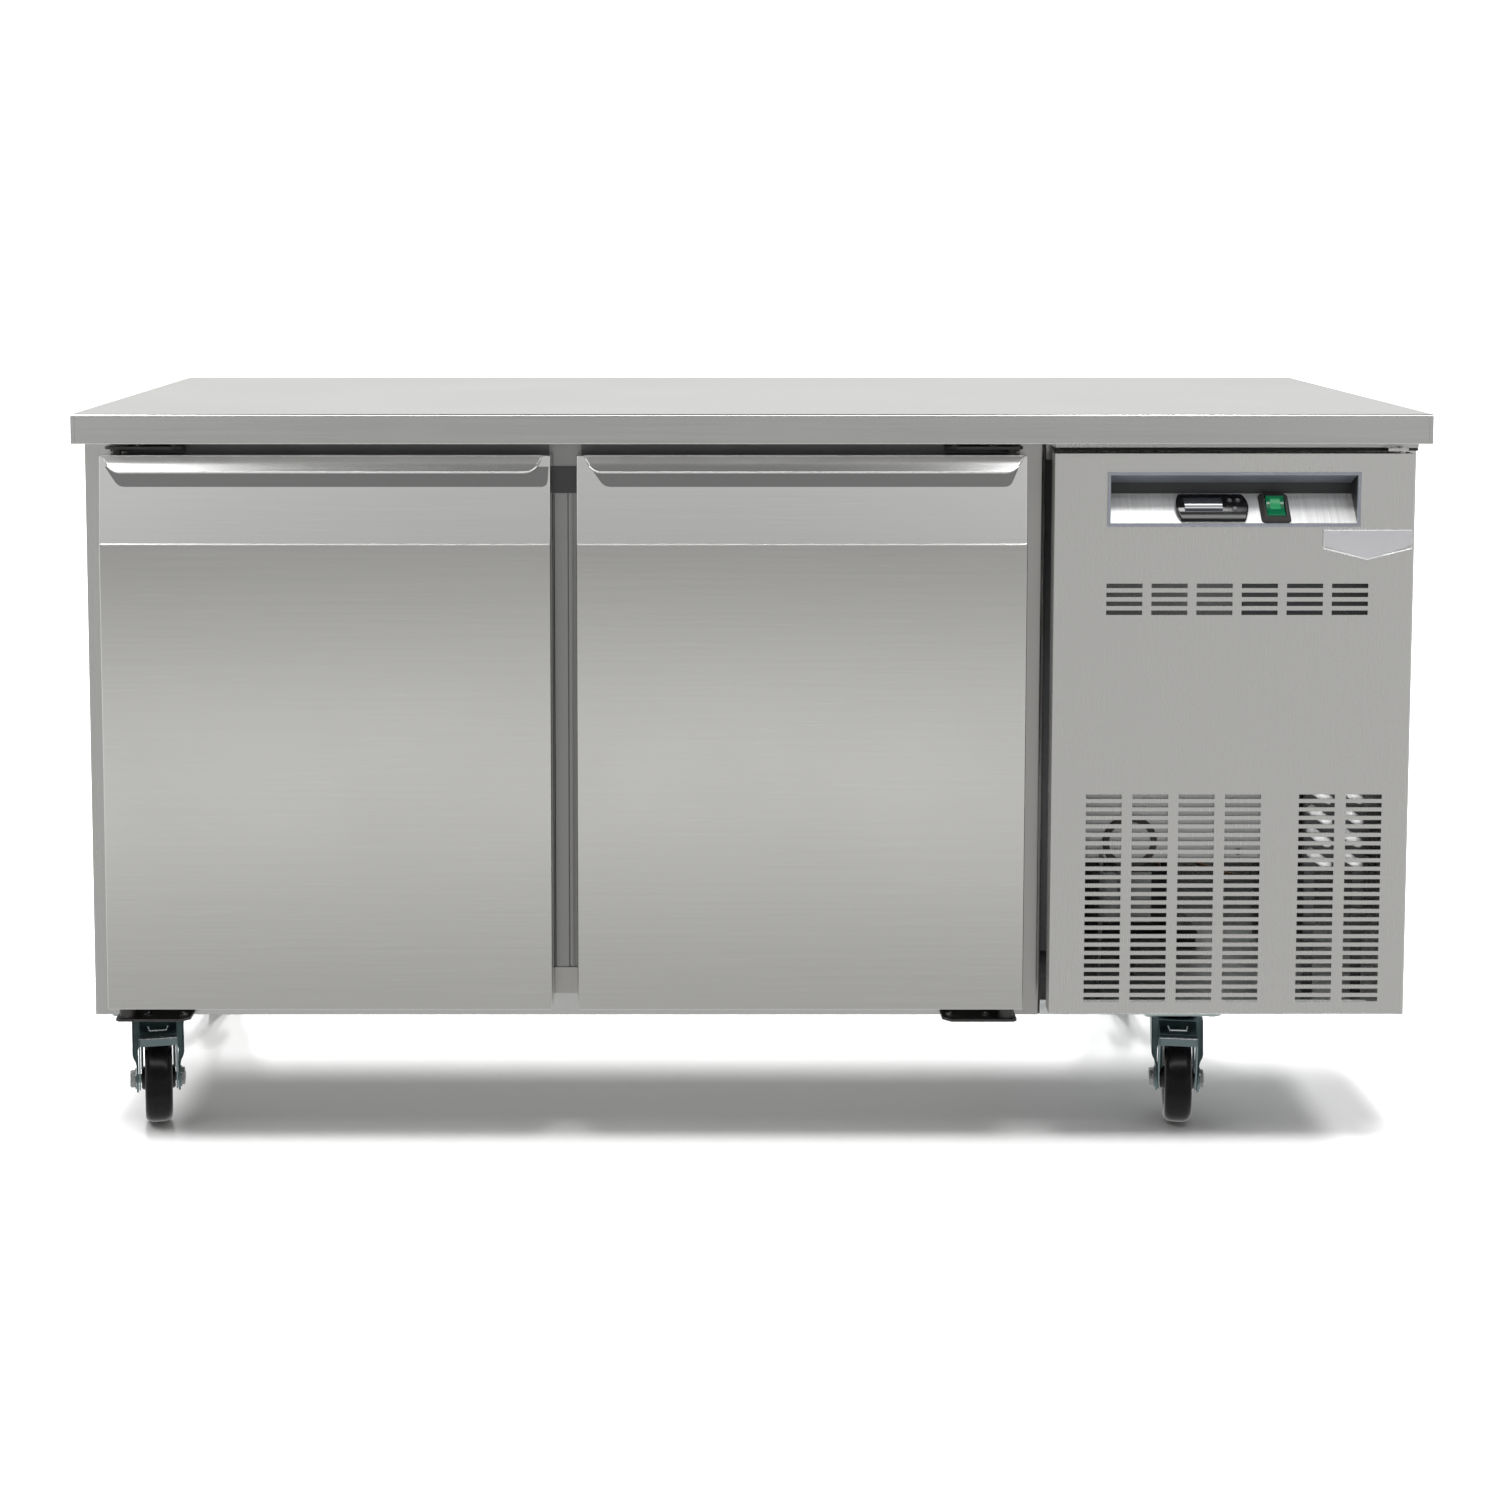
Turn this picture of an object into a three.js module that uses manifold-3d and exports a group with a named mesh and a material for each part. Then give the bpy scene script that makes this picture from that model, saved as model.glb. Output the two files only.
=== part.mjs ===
// Two-door under counter fridge on casters, with its compressor bay at the right end.
// Units are millimetres. +X is right, +Y is back, +Z is up. The origin is on the floor below the middle.
import * as THREE from "three";
import { mergeVertices } from "three/addons/utils/BufferGeometryUtils.js";
import Module from "manifold-3d";

const wasm = await Module();
wasm.setup();

// ---------------------------------------------------------------- driving dimensions
const WIDTH = 1500;
const DEPTH = 700;
const HEIGHT = 825;
const WORKTOP_THICKNESS = 33;
const CASTER_HEIGHT = 131.7; // floor to the underside of the cabinet
const WALL = 50; // foamed wall
const SHEET = 1.5;
const GAP = 0.3; // between pieces that touch
const SIDE_INSET = 2; // worktop edge to cabinet side
const DOOR_RECESS = 60; // worktop front to cabinet front
const REAR_INSET = 5;
const DOOR_WIDTH = 500;
const DOOR_FACE_INSET = 6; // worktop front to door face
const DOOR_THICKNESS = 46;
const DOOR_BOTTOM = 154;
const DOOR_TOP = 778;
const BAND_BOTTOM = 680; // fold line below the leaning band at the top of a door
const BAND_SETBACK = 8;
const PULL_TIP_DROP = 16.5;
const PULL_THICKNESS = 2.4;
const GASKET_WIDTH = 14;
const HINGE_EDGE = 16; // door edge to hinge axis
const HINGE_BACK = 30; // door face to hinge axis
const HINGE_PLATE_LENGTH = 84;
const HINGE_PIN_R = 5;
const LEFT_DOOR_X = -722.5; // its left edge
const RIGHT_DOOR_X = -194;
const DIVIDER_RIGHT = 332; // right side of the insulated box
const PANEL_LEFT = 335; // service panel
const PANEL_RIGHT = 731;
const PANEL_BOTTOM = 150;
const PANEL_TOP = 781;
const PANEL_FLANGE = 25;
const WHEEL_R = 50;
const WHEEL_WIDTH = 32;
const CASTER_OFFSET = 35; // swivel axis to axle
const CASTER_X = [-690, 500];
const CASTER_Y = [-230, 230];
// how far each fork is turned about its swivel axis, in degrees
const CASTER_TURN = { front_left: 12, front_right: -8, rear_left: 0, rear_right: 0 };

// ---------------------------------------------------------------- derived planes
const TOP_UNDERSIDE = HEIGHT - WORKTOP_THICKNESS;
const CABINET_TOP = TOP_UNDERSIDE - GAP;
const CABINET_BOTTOM = CASTER_HEIGHT + GAP;
const CABINET_LEFT = -WIDTH / 2 + SIDE_INSET;
const CABINET_RIGHT = WIDTH / 2 - SIDE_INSET;
const CABINET_FRONT = -DEPTH / 2 + DOOR_RECESS;
const CABINET_REAR = DEPTH / 2 - REAR_INSET;
const ROOM_LEFT = CABINET_LEFT + WALL;
const ROOM_RIGHT = DIVIDER_RIGHT - WALL;
const ROOM_REAR = CABINET_REAR - 45;
const ROOM_FLOOR = CABINET_BOTTOM + WALL;
const ROOM_CEILING = TOP_UNDERSIDE - WALL;
const DOOR_FACE = -DEPTH / 2 + DOOR_FACE_INSET;
const DOOR_BACK = DOOR_FACE + DOOR_THICKNESS;
const MULLION_X = (LEFT_DOOR_X + DOOR_WIDTH + RIGHT_DOOR_X) / 2;

// ---------------------------------------------------------------- colours of the materials
const finishes = {
  steel: { color: 0xb9b9b6, roughness: 0.34, metalness: 1 },
  steelDark: { color: 0x8f8f8c, roughness: 0.4, metalness: 1 },
  zinc: { color: 0x9fb0b2, roughness: 0.35, metalness: 1 },
  galvanised: { color: 0xa9adad, roughness: 0.45, metalness: 1 },
  aluminium: { color: 0xd5d8da, roughness: 0.3, metalness: 1 },
  blackSteel: { color: 0x1d1c1b, roughness: 0.45, metalness: 0.2 },
  blackPlastic: { color: 0x151517, roughness: 0.3, metalness: 0 },
  greyPlastic: { color: 0x3d3e3f, roughness: 0.5, metalness: 0 },
  trimPlastic: { color: 0x868a93, roughness: 0.45, metalness: 0 },
  rubber: { color: 0x202122, roughness: 0.65, metalness: 0 },
  wheel: { color: 0x111112, roughness: 0.3, metalness: 0 },
  foam: { color: 0xd9dad8, roughness: 0.55, metalness: 0 },
  green: { color: 0x06a55a, roughness: 0.2, metalness: 0 },
};

function material(name) {
  return new THREE.MeshStandardMaterial(finishes[name]);
}

// ---------------------------------------------------------------- solids
const UP = new THREE.Vector3(0, 0, 1);

function block(x0, x1, y0, y1, z0, z1) {
  const geometry = new THREE.BoxGeometry(x1 - x0, y1 - y0, z1 - z0);
  return geometry.translate((x0 + x1) / 2, (y0 + y1) / 2, (z0 + z1) / 2);
}

function outline(points) {
  return new THREE.Shape(points.map(([a, b]) => new THREE.Vector2(a, b)));
}

function extrude(shape, depth, curveSegments = 4) {
  return new THREE.ExtrudeGeometry(shape, { depth, curveSegments, bevelEnabled: false });
}

// A shape drawn in X and Y, from height z0 to z1.
function prismZ(shape, z0, z1) {
  return extrude(shape, z1 - z0).translate(0, 0, z0);
}

// A shape drawn in Y and Z, from x0 to x1.
function prismX(shape, x0, x1) {
  const turn = new THREE.Matrix4().makeBasis(
    new THREE.Vector3(0, 1, 0),
    UP,
    new THREE.Vector3(1, 0, 0),
  );
  return extrude(shape, x1 - x0).applyMatrix4(turn).translate(x0, 0, 0);
}

// A shape drawn in X and Z, from y0 to y1.
function prismY(shape, y0, y1) {
  const turn = new THREE.Matrix4().makeBasis(
    new THREE.Vector3(1, 0, 0),
    UP,
    new THREE.Vector3(0, -1, 0),
  );
  return extrude(shape, y1 - y0).applyMatrix4(turn).translate(0, y1, 0);
}

function rodX(r, x0, x1, y, z, sides = 16) {
  const geometry = new THREE.CylinderGeometry(r, r, x1 - x0, sides).rotateZ(-Math.PI / 2);
  return geometry.translate((x0 + x1) / 2, y, z);
}

function rodY(r, x, y0, y1, z, sides = 16) {
  return new THREE.CylinderGeometry(r, r, y1 - y0, sides).translate(x, (y0 + y1) / 2, z);
}

function rodZ(r, x, y, z0, z1, sides = 16) {
  const geometry = new THREE.CylinderGeometry(r, r, z1 - z0, sides).rotateX(Math.PI / 2);
  return geometry.translate(x, y, (z0 + z1) / 2);
}

function solidOf(geometry) {
  const bare = geometry.clone();
  bare.deleteAttribute("normal");
  bare.deleteAttribute("uv");
  const merged = mergeVertices(bare, 1e-4);
  return new wasm.Manifold(
    new wasm.Mesh({
      numProp: 3,
      vertProperties: merged.attributes.position.array,
      triVerts: new Uint32Array(merged.index.array),
    }),
  );
}

function geometryOf(solid) {
  const mesh = solid.getMesh();
  const geometry = new THREE.BufferGeometry();
  geometry.setAttribute("position", new THREE.BufferAttribute(mesh.vertProperties, 3));
  geometry.setIndex(new THREE.BufferAttribute(mesh.triVerts, 1));
  geometry.computeVertexNormals();
  return geometry;
}

function join(...geometries) {
  return geometryOf(geometries.map(solidOf).reduce((a, b) => a.add(b)));
}

function cut(geometry, ...tools) {
  return geometryOf(tools.map(solidOf).reduce((a, b) => a.subtract(b), solidOf(geometry)));
}

function common(a, b) {
  return geometryOf(solidOf(a).intersect(solidOf(b)));
}

const fridge = new THREE.Group();

function piece(name, finish, geometry, parent = fridge) {
  const mesh = new THREE.Mesh(geometry, material(finish));
  mesh.name = name;
  parent.add(mesh);
  return mesh;
}

// ---------------------------------------------------------------- cabinet
function addWorktop() {
  const x = WIDTH / 2;
  const y = DEPTH / 2;
  piece("worktop", "steel", block(-x, x, -y, y, TOP_UNDERSIDE, HEIGHT));
}

function addColdRoomWalls() {
  piece(
    "left_side_panel",
    "steel",
    block(CABINET_LEFT, ROOM_LEFT, CABINET_FRONT, CABINET_REAR, CABINET_BOTTOM, CABINET_TOP),
  );
  const inner = [ROOM_LEFT + GAP, ROOM_RIGHT - GAP];
  piece("rear_panel", "steel", block(...inner, ROOM_REAR, CABINET_REAR, CABINET_BOTTOM, CABINET_TOP));
  const depth = [CABINET_FRONT, ROOM_REAR - GAP];
  piece("floor_panel", "steel", block(...inner, ...depth, CABINET_BOTTOM, ROOM_FLOOR));
  piece("ceiling_panel", "steel", block(...inner, ...depth, ROOM_CEILING, CABINET_TOP));
}

// The wall between the cold room and the compressor bay has a rounded front edge.
function addBayDivider() {
  const radius = 12;
  const plan = new THREE.Shape();
  plan.moveTo(ROOM_RIGHT, CABINET_FRONT);
  plan.lineTo(DIVIDER_RIGHT - radius, CABINET_FRONT);
  plan.absarc(DIVIDER_RIGHT - radius, CABINET_FRONT + radius, radius, -Math.PI / 2, 0, false);
  plan.lineTo(DIVIDER_RIGHT, CABINET_REAR);
  plan.lineTo(ROOM_RIGHT, CABINET_REAR);
  piece("bay_divider", "steel", prismZ(plan, CABINET_BOTTOM, CABINET_TOP));
}

function addMullion() {
  const half = 30;
  const depth = 40;
  const capHalf = 18;
  const capDepth = 2.7;
  const capLength = 30;
  piece(
    "mullion",
    "steel",
    block(
      MULLION_X - half,
      MULLION_X + half,
      CABINET_FRONT,
      CABINET_FRONT + depth,
      ROOM_FLOOR + GAP,
      ROOM_CEILING - GAP,
    ),
  );
  const cap = (bottom) =>
    block(
      MULLION_X - capHalf,
      MULLION_X + capHalf,
      CABINET_FRONT - GAP - capDepth,
      CABINET_FRONT - GAP,
      bottom,
      bottom + capLength,
    );
  piece("mullion_cap_upper", "greyPlastic", cap(TOP_UNDERSIDE - 2 * capLength));
  piece("mullion_cap_lower", "steelDark", cap(DOOR_BOTTOM + 4));
}

// ---------------------------------------------------------------- shelves
const SHELF_TOP = 455;
const SHELF_FRONT = CABINET_FRONT + 50;
const SHELF_REAR = ROOM_REAR - 10;
const RAIL_WIDTH = 16;
const RAIL_HEIGHT = 22;

// An angle rail on a wall: side is +1 where its ledge points to +X.
function shelfRail(wallX, side) {
  const near = wallX + side * GAP;
  const section = outline([
    [0, 0],
    [RAIL_WIDTH, 0],
    [RAIL_WIDTH, 2],
    [2, 2],
    [2, RAIL_HEIGHT],
    [0, RAIL_HEIGHT],
  ]);
  const rail = prismY(section, SHELF_FRONT, ROOM_REAR - GAP);
  if (side < 0) {
    rail.rotateZ(Math.PI);
    rail.translate(0, SHELF_FRONT + ROOM_REAR - GAP, 0);
  }
  return rail.translate(near, 0, SHELF_TOP - 10);
}

// The support between the shelves runs from the mullion to the rear wall, with a ledge on both sides.
function shelfCentreSupport() {
  const section = outline([
    [-RAIL_WIDTH - 1, 0],
    [RAIL_WIDTH + 1, 0],
    [RAIL_WIDTH + 1, 2],
    [1, 2],
    [1, RAIL_HEIGHT],
    [-1, RAIL_HEIGHT],
    [-1, 2],
    [-RAIL_WIDTH - 1, 2],
  ]);
  const front = CABINET_FRONT + 40 + GAP;
  return prismY(section, front, ROOM_REAR - GAP).translate(MULLION_X, 0, SHELF_TOP - 10);
}

// A wire shelf: a frame of rods with thin rods front to back across it.
function wireShelf(x0, x1) {
  const frame = 7;
  const wire = 4;
  const pitch = 26;
  const z1 = SHELF_TOP;
  const z0 = SHELF_TOP - frame;
  const rim = cut(
    block(x0, x1, SHELF_FRONT, SHELF_REAR, z0, z1),
    block(x0 + frame, x1 - frame, SHELF_FRONT + frame, SHELF_REAR - frame, z0 - 1, z1 + 1),
  );
  const middle = (SHELF_FRONT + SHELF_REAR) / 2;
  const parts = [rim, block(x0 + 1, x1 - 1, middle - frame / 2, middle + frame / 2, z0, z0 + 5)];
  const count = Math.round((x1 - x0) / pitch) - 1;
  for (let i = 1; i <= count; i++) {
    const x = x0 + ((x1 - x0) * i) / (count + 1);
    parts.push(
      block(x - wire / 2, x + wire / 2, SHELF_FRONT + 2, SHELF_REAR - 2, z1 - wire - 0.5, z1 - 0.5),
    );
  }
  return join(...parts);
}

function addShelves() {
  piece("shelf_rail_left", "steel", shelfRail(ROOM_LEFT, 1));
  piece("shelf_rail_right", "steel", shelfRail(ROOM_RIGHT, -1));
  piece("shelf_centre_support", "steel", shelfCentreSupport());
  const clear = 5;
  piece("shelf_left", "zinc", wireShelf(ROOM_LEFT + clear, MULLION_X - clear));
  piece("shelf_right", "zinc", wireShelf(MULLION_X + clear, ROOM_RIGHT - clear));
}

// ---------------------------------------------------------------- fans
// An axial fan about the X axis: a hub with a shaft bore, and pitched blades.
function fanAboutX(x, y, z, hubR, tipR, depth, blades, boreR) {
  const hub = rodX(hubR, x - depth / 2, x + depth / 2, y, z, 20);
  const parts = [hub];
  for (let i = 0; i < blades; i++) {
    const blade = new THREE.BoxGeometry(2, tipR * 0.62, tipR - hubR + 4);
    blade.rotateZ(-0.42);
    blade.translate(0, 0, (tipR + hubR) / 2 - 2);
    blade.rotateX((2 * Math.PI * i) / blades);
    blade.translate(x, y, z);
    parts.push(blade);
  }
  const swept = common(join(...parts), rodX(tipR, x - depth, x + depth, y, z, 36));
  return cut(swept, rodX(boreR, x - depth, x + depth, y, z, 12));
}

// ---------------------------------------------------------------- evaporator, on the right wall of the cold room
const EVAPORATOR = { x0: 172, y0: -200, y1: 260, z0: 485, z1: ROOM_CEILING - GAP };
const EVAPORATOR_FAN = { x: 193, y: 30, z: 612, r: 78 };

function addEvaporator() {
  const e = EVAPORATOR;
  const f = EVAPORATOR_FAN;
  const wallX = ROOM_RIGHT - GAP;
  const coverHole = rodX(f.r + 5, e.x0 - 5, e.x0 + 5, f.y, f.z, 32);
  const slots = [];
  for (let i = 0; i < 5; i++) {
    for (const y of [e.y0 + 20, e.y1 - 100]) {
      slots.push(block(e.x0 - 5, e.x0 + 5, y, y + 80, e.z0 + 30 + i * 22, e.z0 + 38 + i * 22));
    }
  }
  const shell = cut(
    block(e.x0, wallX, e.y0, e.y1, e.z0, e.z1),
    block(e.x0 + SHEET, wallX + 5, e.y0 + SHEET, e.y1 - SHEET, e.z0 + SHEET, e.z1 - SHEET),
    coverHole,
    ...slots,
  );
  piece("evaporator_cover", "steel", shell);

  const coil = [block(240, 276, e.y0 + 12, e.y1 - 12, e.z0 + 20, e.z1 - 20)];
  coil.push(rodX(30, 206, 241, f.y, f.z, 20));
  coil.push(rodX(4, 186, 207, f.y, f.z, 12));
  piece("evaporator_coil", "aluminium", join(...coil));
  piece("evaporator_fan", "blackPlastic", fanAboutX(f.x, f.y, f.z, 20, f.r - 3, 18, 5, 4.6));
}

// ---------------------------------------------------------------- doors
// hingeSide is -1 for a door hung at its left edge and +1 for one hung at its right edge.
function hingeX(x0, hingeSide) {
  return hingeSide < 0 ? x0 + HINGE_EDGE : x0 + DOOR_WIDTH - HINGE_EDGE;
}

const HINGE_Y = DOOR_FACE + HINGE_BACK;

function doorSection(inset) {
  return outline([
    [DOOR_BACK + (inset ? 10 : 0), DOOR_BOTTOM + inset],
    [DOOR_FACE + inset, DOOR_BOTTOM + inset],
    [DOOR_FACE + inset, BAND_BOTTOM],
    [DOOR_FACE + BAND_SETBACK + inset, DOOR_TOP - inset],
    [DOOR_BACK + (inset ? 10 : 0), DOOR_TOP - inset],
  ]);
}

// The pull is a lip folded forward and down from the door's top edge, narrower at its rounded tip.
function doorPull(x0, hingeSide) {
  const foldInset = hingeSide < 0 ? [4, 9] : [9, 4];
  const tipInset = hingeSide < 0 ? [17, 19] : [19, 17];
  const reach = DOOR_FACE_INSET + BAND_SETBACK - 0.5;
  const length = Math.hypot(reach, PULL_TIP_DROP);
  const x1 = x0 + DOOR_WIDTH;
  const round = 9;
  const shape = new THREE.Shape();
  shape.moveTo(x0 + foldInset[0], 0);
  shape.lineTo(x1 - foldInset[1], 0);
  shape.lineTo(x1 - tipInset[1] + 3, length - round);
  shape.quadraticCurveTo(x1 - tipInset[1], length, x1 - tipInset[1] - round, length);
  shape.lineTo(x0 + tipInset[0] + round, length);
  shape.quadraticCurveTo(x0 + tipInset[0], length, x0 + tipInset[0] - 3, length - round);
  const down = new THREE.Vector3(0, -reach / length, -PULL_TIP_DROP / length);
  const across = new THREE.Vector3(1, 0, 0);
  const under = new THREE.Vector3().crossVectors(across, down);
  const lip = extrude(shape, PULL_THICKNESS, 5);
  lip.applyMatrix4(new THREE.Matrix4().makeBasis(across, down, under));
  return lip.translate(0, DOOR_FACE + BAND_SETBACK, DOOR_TOP);
}

function addDoor(side, x0, hingeSide) {
  const x1 = x0 + DOOR_WIDTH;
  const axisX = hingeX(x0, hingeSide);
  const boreR = HINGE_PIN_R + 0.4;
  const bores = [
    rodZ(boreR, axisX, HINGE_Y, DOOR_BOTTOM - 5, DOOR_BOTTOM + 18),
    rodZ(boreR, axisX, HINGE_Y, DOOR_TOP - 20, DOOR_TOP + 5),
  ];
  const shell = cut(
    prismX(doorSection(0), x0, x1),
    prismX(doorSection(SHEET), x0 + SHEET, x1 - SHEET),
  );
  piece(`${side}_door_skin`, "steel", cut(join(shell, doorPull(x0, hingeSide)), ...bores));

  const inset = SHEET + GAP;
  const core = common(
    prismX(doorSection(inset), x0 + inset, x1 - inset),
    block(x0, x1, DOOR_FACE, DOOR_BACK, DOOR_BOTTOM, DOOR_TOP),
  );
  const pan = block(x0 + 55, x1 - 55, DOOR_BACK - 3.5, DOOR_BACK + 5, DOOR_BOTTOM + 50, DOOR_TOP - 50);
  piece(`${side}_door_core`, "foam", cut(core, pan, ...bores));

  const hingeInset = HINGE_EDGE;
  const freeInset = 4.5;
  const g0 = x0 + (hingeSide < 0 ? hingeInset : freeInset);
  const g1 = x1 - (hingeSide < 0 ? freeInset : hingeInset);
  const g = { z0: DOOR_BOTTOM + 4, z1: DOOR_TOP - 4 };
  const y0 = DOOR_BACK + GAP;
  const y1 = CABINET_FRONT - GAP;
  const ring = cut(
    block(g0, g1, y0, y1, g.z0, g.z1),
    block(
      g0 + GASKET_WIDTH,
      g1 - GASKET_WIDTH,
      y0 - 1,
      y1 + 1,
      g.z0 + GASKET_WIDTH,
      g.z1 - GASKET_WIDTH,
    ),
  );
  piece(`${side}_door_gasket`, "rubber", ring);
}

// Angle plates screwed to the cabinet front carry a pin into the door's bottom and one into its top.
function addHinges(side, x0, hingeSide) {
  const axisX = hingeX(x0, hingeSide);
  const outer = x0 + (hingeSide < 0 ? 4 : DOOR_WIDTH - 4);
  const inner = outer - hingeSide * HINGE_PLATE_LENGTH;
  const front = -DEPTH / 2 + 25;
  const back = CABINET_FRONT - GAP;
  const chamfer = 10;
  const plan = outline([
    [outer, back],
    [outer, front + 4],
    [outer - hingeSide * 4, front],
    [inner + hingeSide * chamfer, front],
    [inner, front + chamfer],
    [inner, back],
  ]);
  const thick = 3;
  const xs = [Math.min(outer, inner), Math.max(outer, inner)];
  const lowZ = CABINET_BOTTOM + 2;
  const lower = join(
    prismZ(plan, lowZ, lowZ + thick),
    block(...xs, back - thick, back, lowZ, lowZ + 16),
    rodZ(9, axisX, HINGE_Y, lowZ + thick - 1, DOOR_BOTTOM - 0.5),
    rodZ(HINGE_PIN_R, axisX, HINGE_Y, DOOR_BOTTOM - 2, DOOR_BOTTOM + 16),
  );
  piece(`${side}_hinge_lower`, "blackSteel", lower);
  const highZ = DOOR_TOP + 6;
  const upper = join(
    prismZ(plan, highZ, highZ + thick),
    block(...xs, back - thick, back, DOOR_TOP + 1, highZ + thick),
    rodZ(HINGE_PIN_R, axisX, HINGE_Y, DOOR_TOP - 18, highZ + 1),
  );
  piece(`${side}_hinge_upper`, "blackSteel", upper);
}

// ---------------------------------------------------------------- compressor bay
const BAY_LEFT = DIVIDER_RIGHT + GAP;
const BAY_FLOOR = CABINET_BOTTOM + 3;
const PANEL_HINGE = { x: PANEL_RIGHT - 9, y: DOOR_FACE + 16 };
const PANEL_PIN_R = 3;
const STILE = 20; // front return of the outer sheet

// A lug that holds one pin of the service panel's hinge.
function panelHingeLug(z0, z1) {
  return cut(
    block(PANEL_HINGE.x - 17, PANEL_HINGE.x + 5.5, PANEL_HINGE.y - 6, CABINET_FRONT + 2, z0, z1),
    rodZ(PANEL_PIN_R + 0.5, PANEL_HINGE.x, PANEL_HINGE.y, z0 - 1, z1 + 1),
  );
}

function addBayBase() {
  const front = CABINET_FRONT;
  const thick = 2;
  const right = CABINET_RIGHT - thick - GAP;
  const frontRight = CABINET_RIGHT - STILE - GAP;
  const rear = CABINET_REAR - thick - GAP;
  const tray = join(
    block(BAY_LEFT, right, front + thick + GAP, rear, CABINET_BOTTOM, BAY_FLOOR),
    block(BAY_LEFT, frontRight, front, front + 5, CABINET_BOTTOM, BAY_FLOOR),
    block(BAY_LEFT, frontRight, front, front + thick, CABINET_BOTTOM, PANEL_BOTTOM - 1),
    panelHingeLug(PANEL_BOTTOM - 4, PANEL_BOTTOM - 1),
  );
  piece("bay_base", "galvanised", tray);
}

// The outer sheet wraps the bay: right side, louvred rear, and a frame across the front.
function addBayCasing() {
  const front = CABINET_FRONT;
  const right = CABINET_RIGHT;
  const thick = 2;
  const slots = [];
  for (let column = 0; column < 4; column++) {
    for (let row = 0; row < 9; row++) {
      const x = BAY_LEFT + 45 + column * 85;
      const z = 230 + row * 30;
      slots.push(block(x, x + 65, CABINET_REAR - 5, CABINET_REAR + 5, z, z + 8));
    }
  }
  const rear = cut(
    block(BAY_LEFT, right, CABINET_REAR - thick, CABINET_REAR, CABINET_BOTTOM, CABINET_TOP),
    rodY(8.5, GLAND.x, CABINET_REAR - 5, CABINET_REAR + 5, GLAND.z),
    ...slots,
  );
  const casing = join(
    rear,
    block(right - thick, right, front, CABINET_REAR, CABINET_BOTTOM, CABINET_TOP),
    block(right - STILE, right, front, front + thick, CABINET_BOTTOM, CABINET_TOP),
    block(BAY_LEFT, right, front, front + thick, CABINET_TOP - 22, CABINET_TOP),
    panelHingeLug(PANEL_TOP + 2, PANEL_TOP + 5),
    block(PANEL_HINGE.x - 17, PANEL_HINGE.x + 5.5, front, front + thick, PANEL_TOP - 10, PANEL_TOP + 8),
  );
  piece("bay_casing", "steel", casing);
}

const GLAND = { x: 690, z: 185 };

function addCableGland() {
  const face = CABINET_REAR;
  const gland = join(
    rodY(12, GLAND.x, face + GAP, DEPTH / 2 - 0.2, GLAND.z, 6),
    rodY(7.8, GLAND.x, face - 14, face + 1, GLAND.z, 12),
  );
  piece("cable_gland", "blackPlastic", cut(gland, rodY(4, GLAND.x, face - 20, face + 10, GLAND.z, 12)));
}

const CONDENSER = { x0: 644, x1: 712, y0: -238, y1: 32, z0: 288, z1: 566 };
const CONDENSER_FAN = { x: 622, y: -103, z: 427, r: 116 };

function addCondenser() {
  const c = CONDENSER;
  const parts = [block(c.x0, c.x1, c.y0, c.y1, c.z0, c.z1)];
  for (const x of [c.x0, c.x1 - 12]) {
    for (const y of [c.y0, c.y1 - 2]) {
      parts.push(block(x, x + 12, y, y + 2, BAY_FLOOR + GAP, c.z0 + 5));
      parts.push(block(x, x + 12, y === c.y0 ? y : y - 18, y === c.y0 ? y + 20 : y + 2, BAY_FLOOR + GAP,
        BAY_FLOOR + GAP + 3));
    }
  }
  piece("condenser", "aluminium", join(...parts));
}

// The fan's shroud plate, with a bar that carries the motor in front of it.
function addCondenserFan() {
  const c = CONDENSER;
  const f = CONDENSER_FAN;
  const plateX = c.x0 - GAP;
  const barX = 588;
  const shroud = cut(
    join(
      block(plateX - 2, plateX, c.y0, c.y1, c.z0, c.z1),
      rodX(f.r + 6, plateX - 20, plateX - 1, f.y, f.z, 36),
    ),
    rodX(f.r + 4, plateX - 30, plateX + 5, f.y, f.z, 36),
  );
  const mount = join(
    shroud,
    block(barX, barX + 4, c.y0 + 2, c.y1 - 2, f.z - 12, f.z + 12),
    block(barX, plateX, c.y0 + 2, c.y0 + 6, f.z - 12, f.z + 12),
    block(barX, plateX, c.y1 - 6, c.y1 - 2, f.z - 12, f.z + 12),
    rodX(38, barX - 46, barX + 2, f.y, f.z, 24),
    rodX(4, barX + 1, f.x + 8, f.y, f.z, 12),
  );
  piece("condenser_fan_mount", "blackSteel", mount);
  piece("condenser_fan", "aluminium", fanAboutX(f.x, f.y, f.z, 22, f.r, 18, 5, 4.6));
}

function addCompressor() {
  const x = 462;
  const y = 40;
  const base = BAY_FLOOR + GAP;
  const shellProfile = [
    [0, 14],
    [62, 14],
    [82, 26],
    [86, 60],
    [86, 132],
    [80, 168],
    [58, 190],
    [24, 199],
    [0, 201],
  ].map(([r, h]) => new THREE.Vector2(r, h));
  const shell = new THREE.LatheGeometry(shellProfile, 24).rotateX(Math.PI / 2);
  shell.translate(x, y, base);
  const parts = [shell, block(x - 105, x + 105, y - 70, y + 70, base + 13, base + 17)];
  for (const dx of [-90, 90]) {
    for (const dy of [-55, 55]) {
      parts.push(rodZ(13, x + dx, y + dy, base, base + 22, 12));
    }
  }
  parts.push(rodY(6, x + 40, y - 110, y, base + 120, 10));
  piece("compressor", "blackPlastic", join(...parts));
  piece(
    "compressor_terminal_box",
    "greyPlastic",
    block(x - 32, x + 32, y - 128, y - 90, base + 50, base + 112),
  );
}

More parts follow.
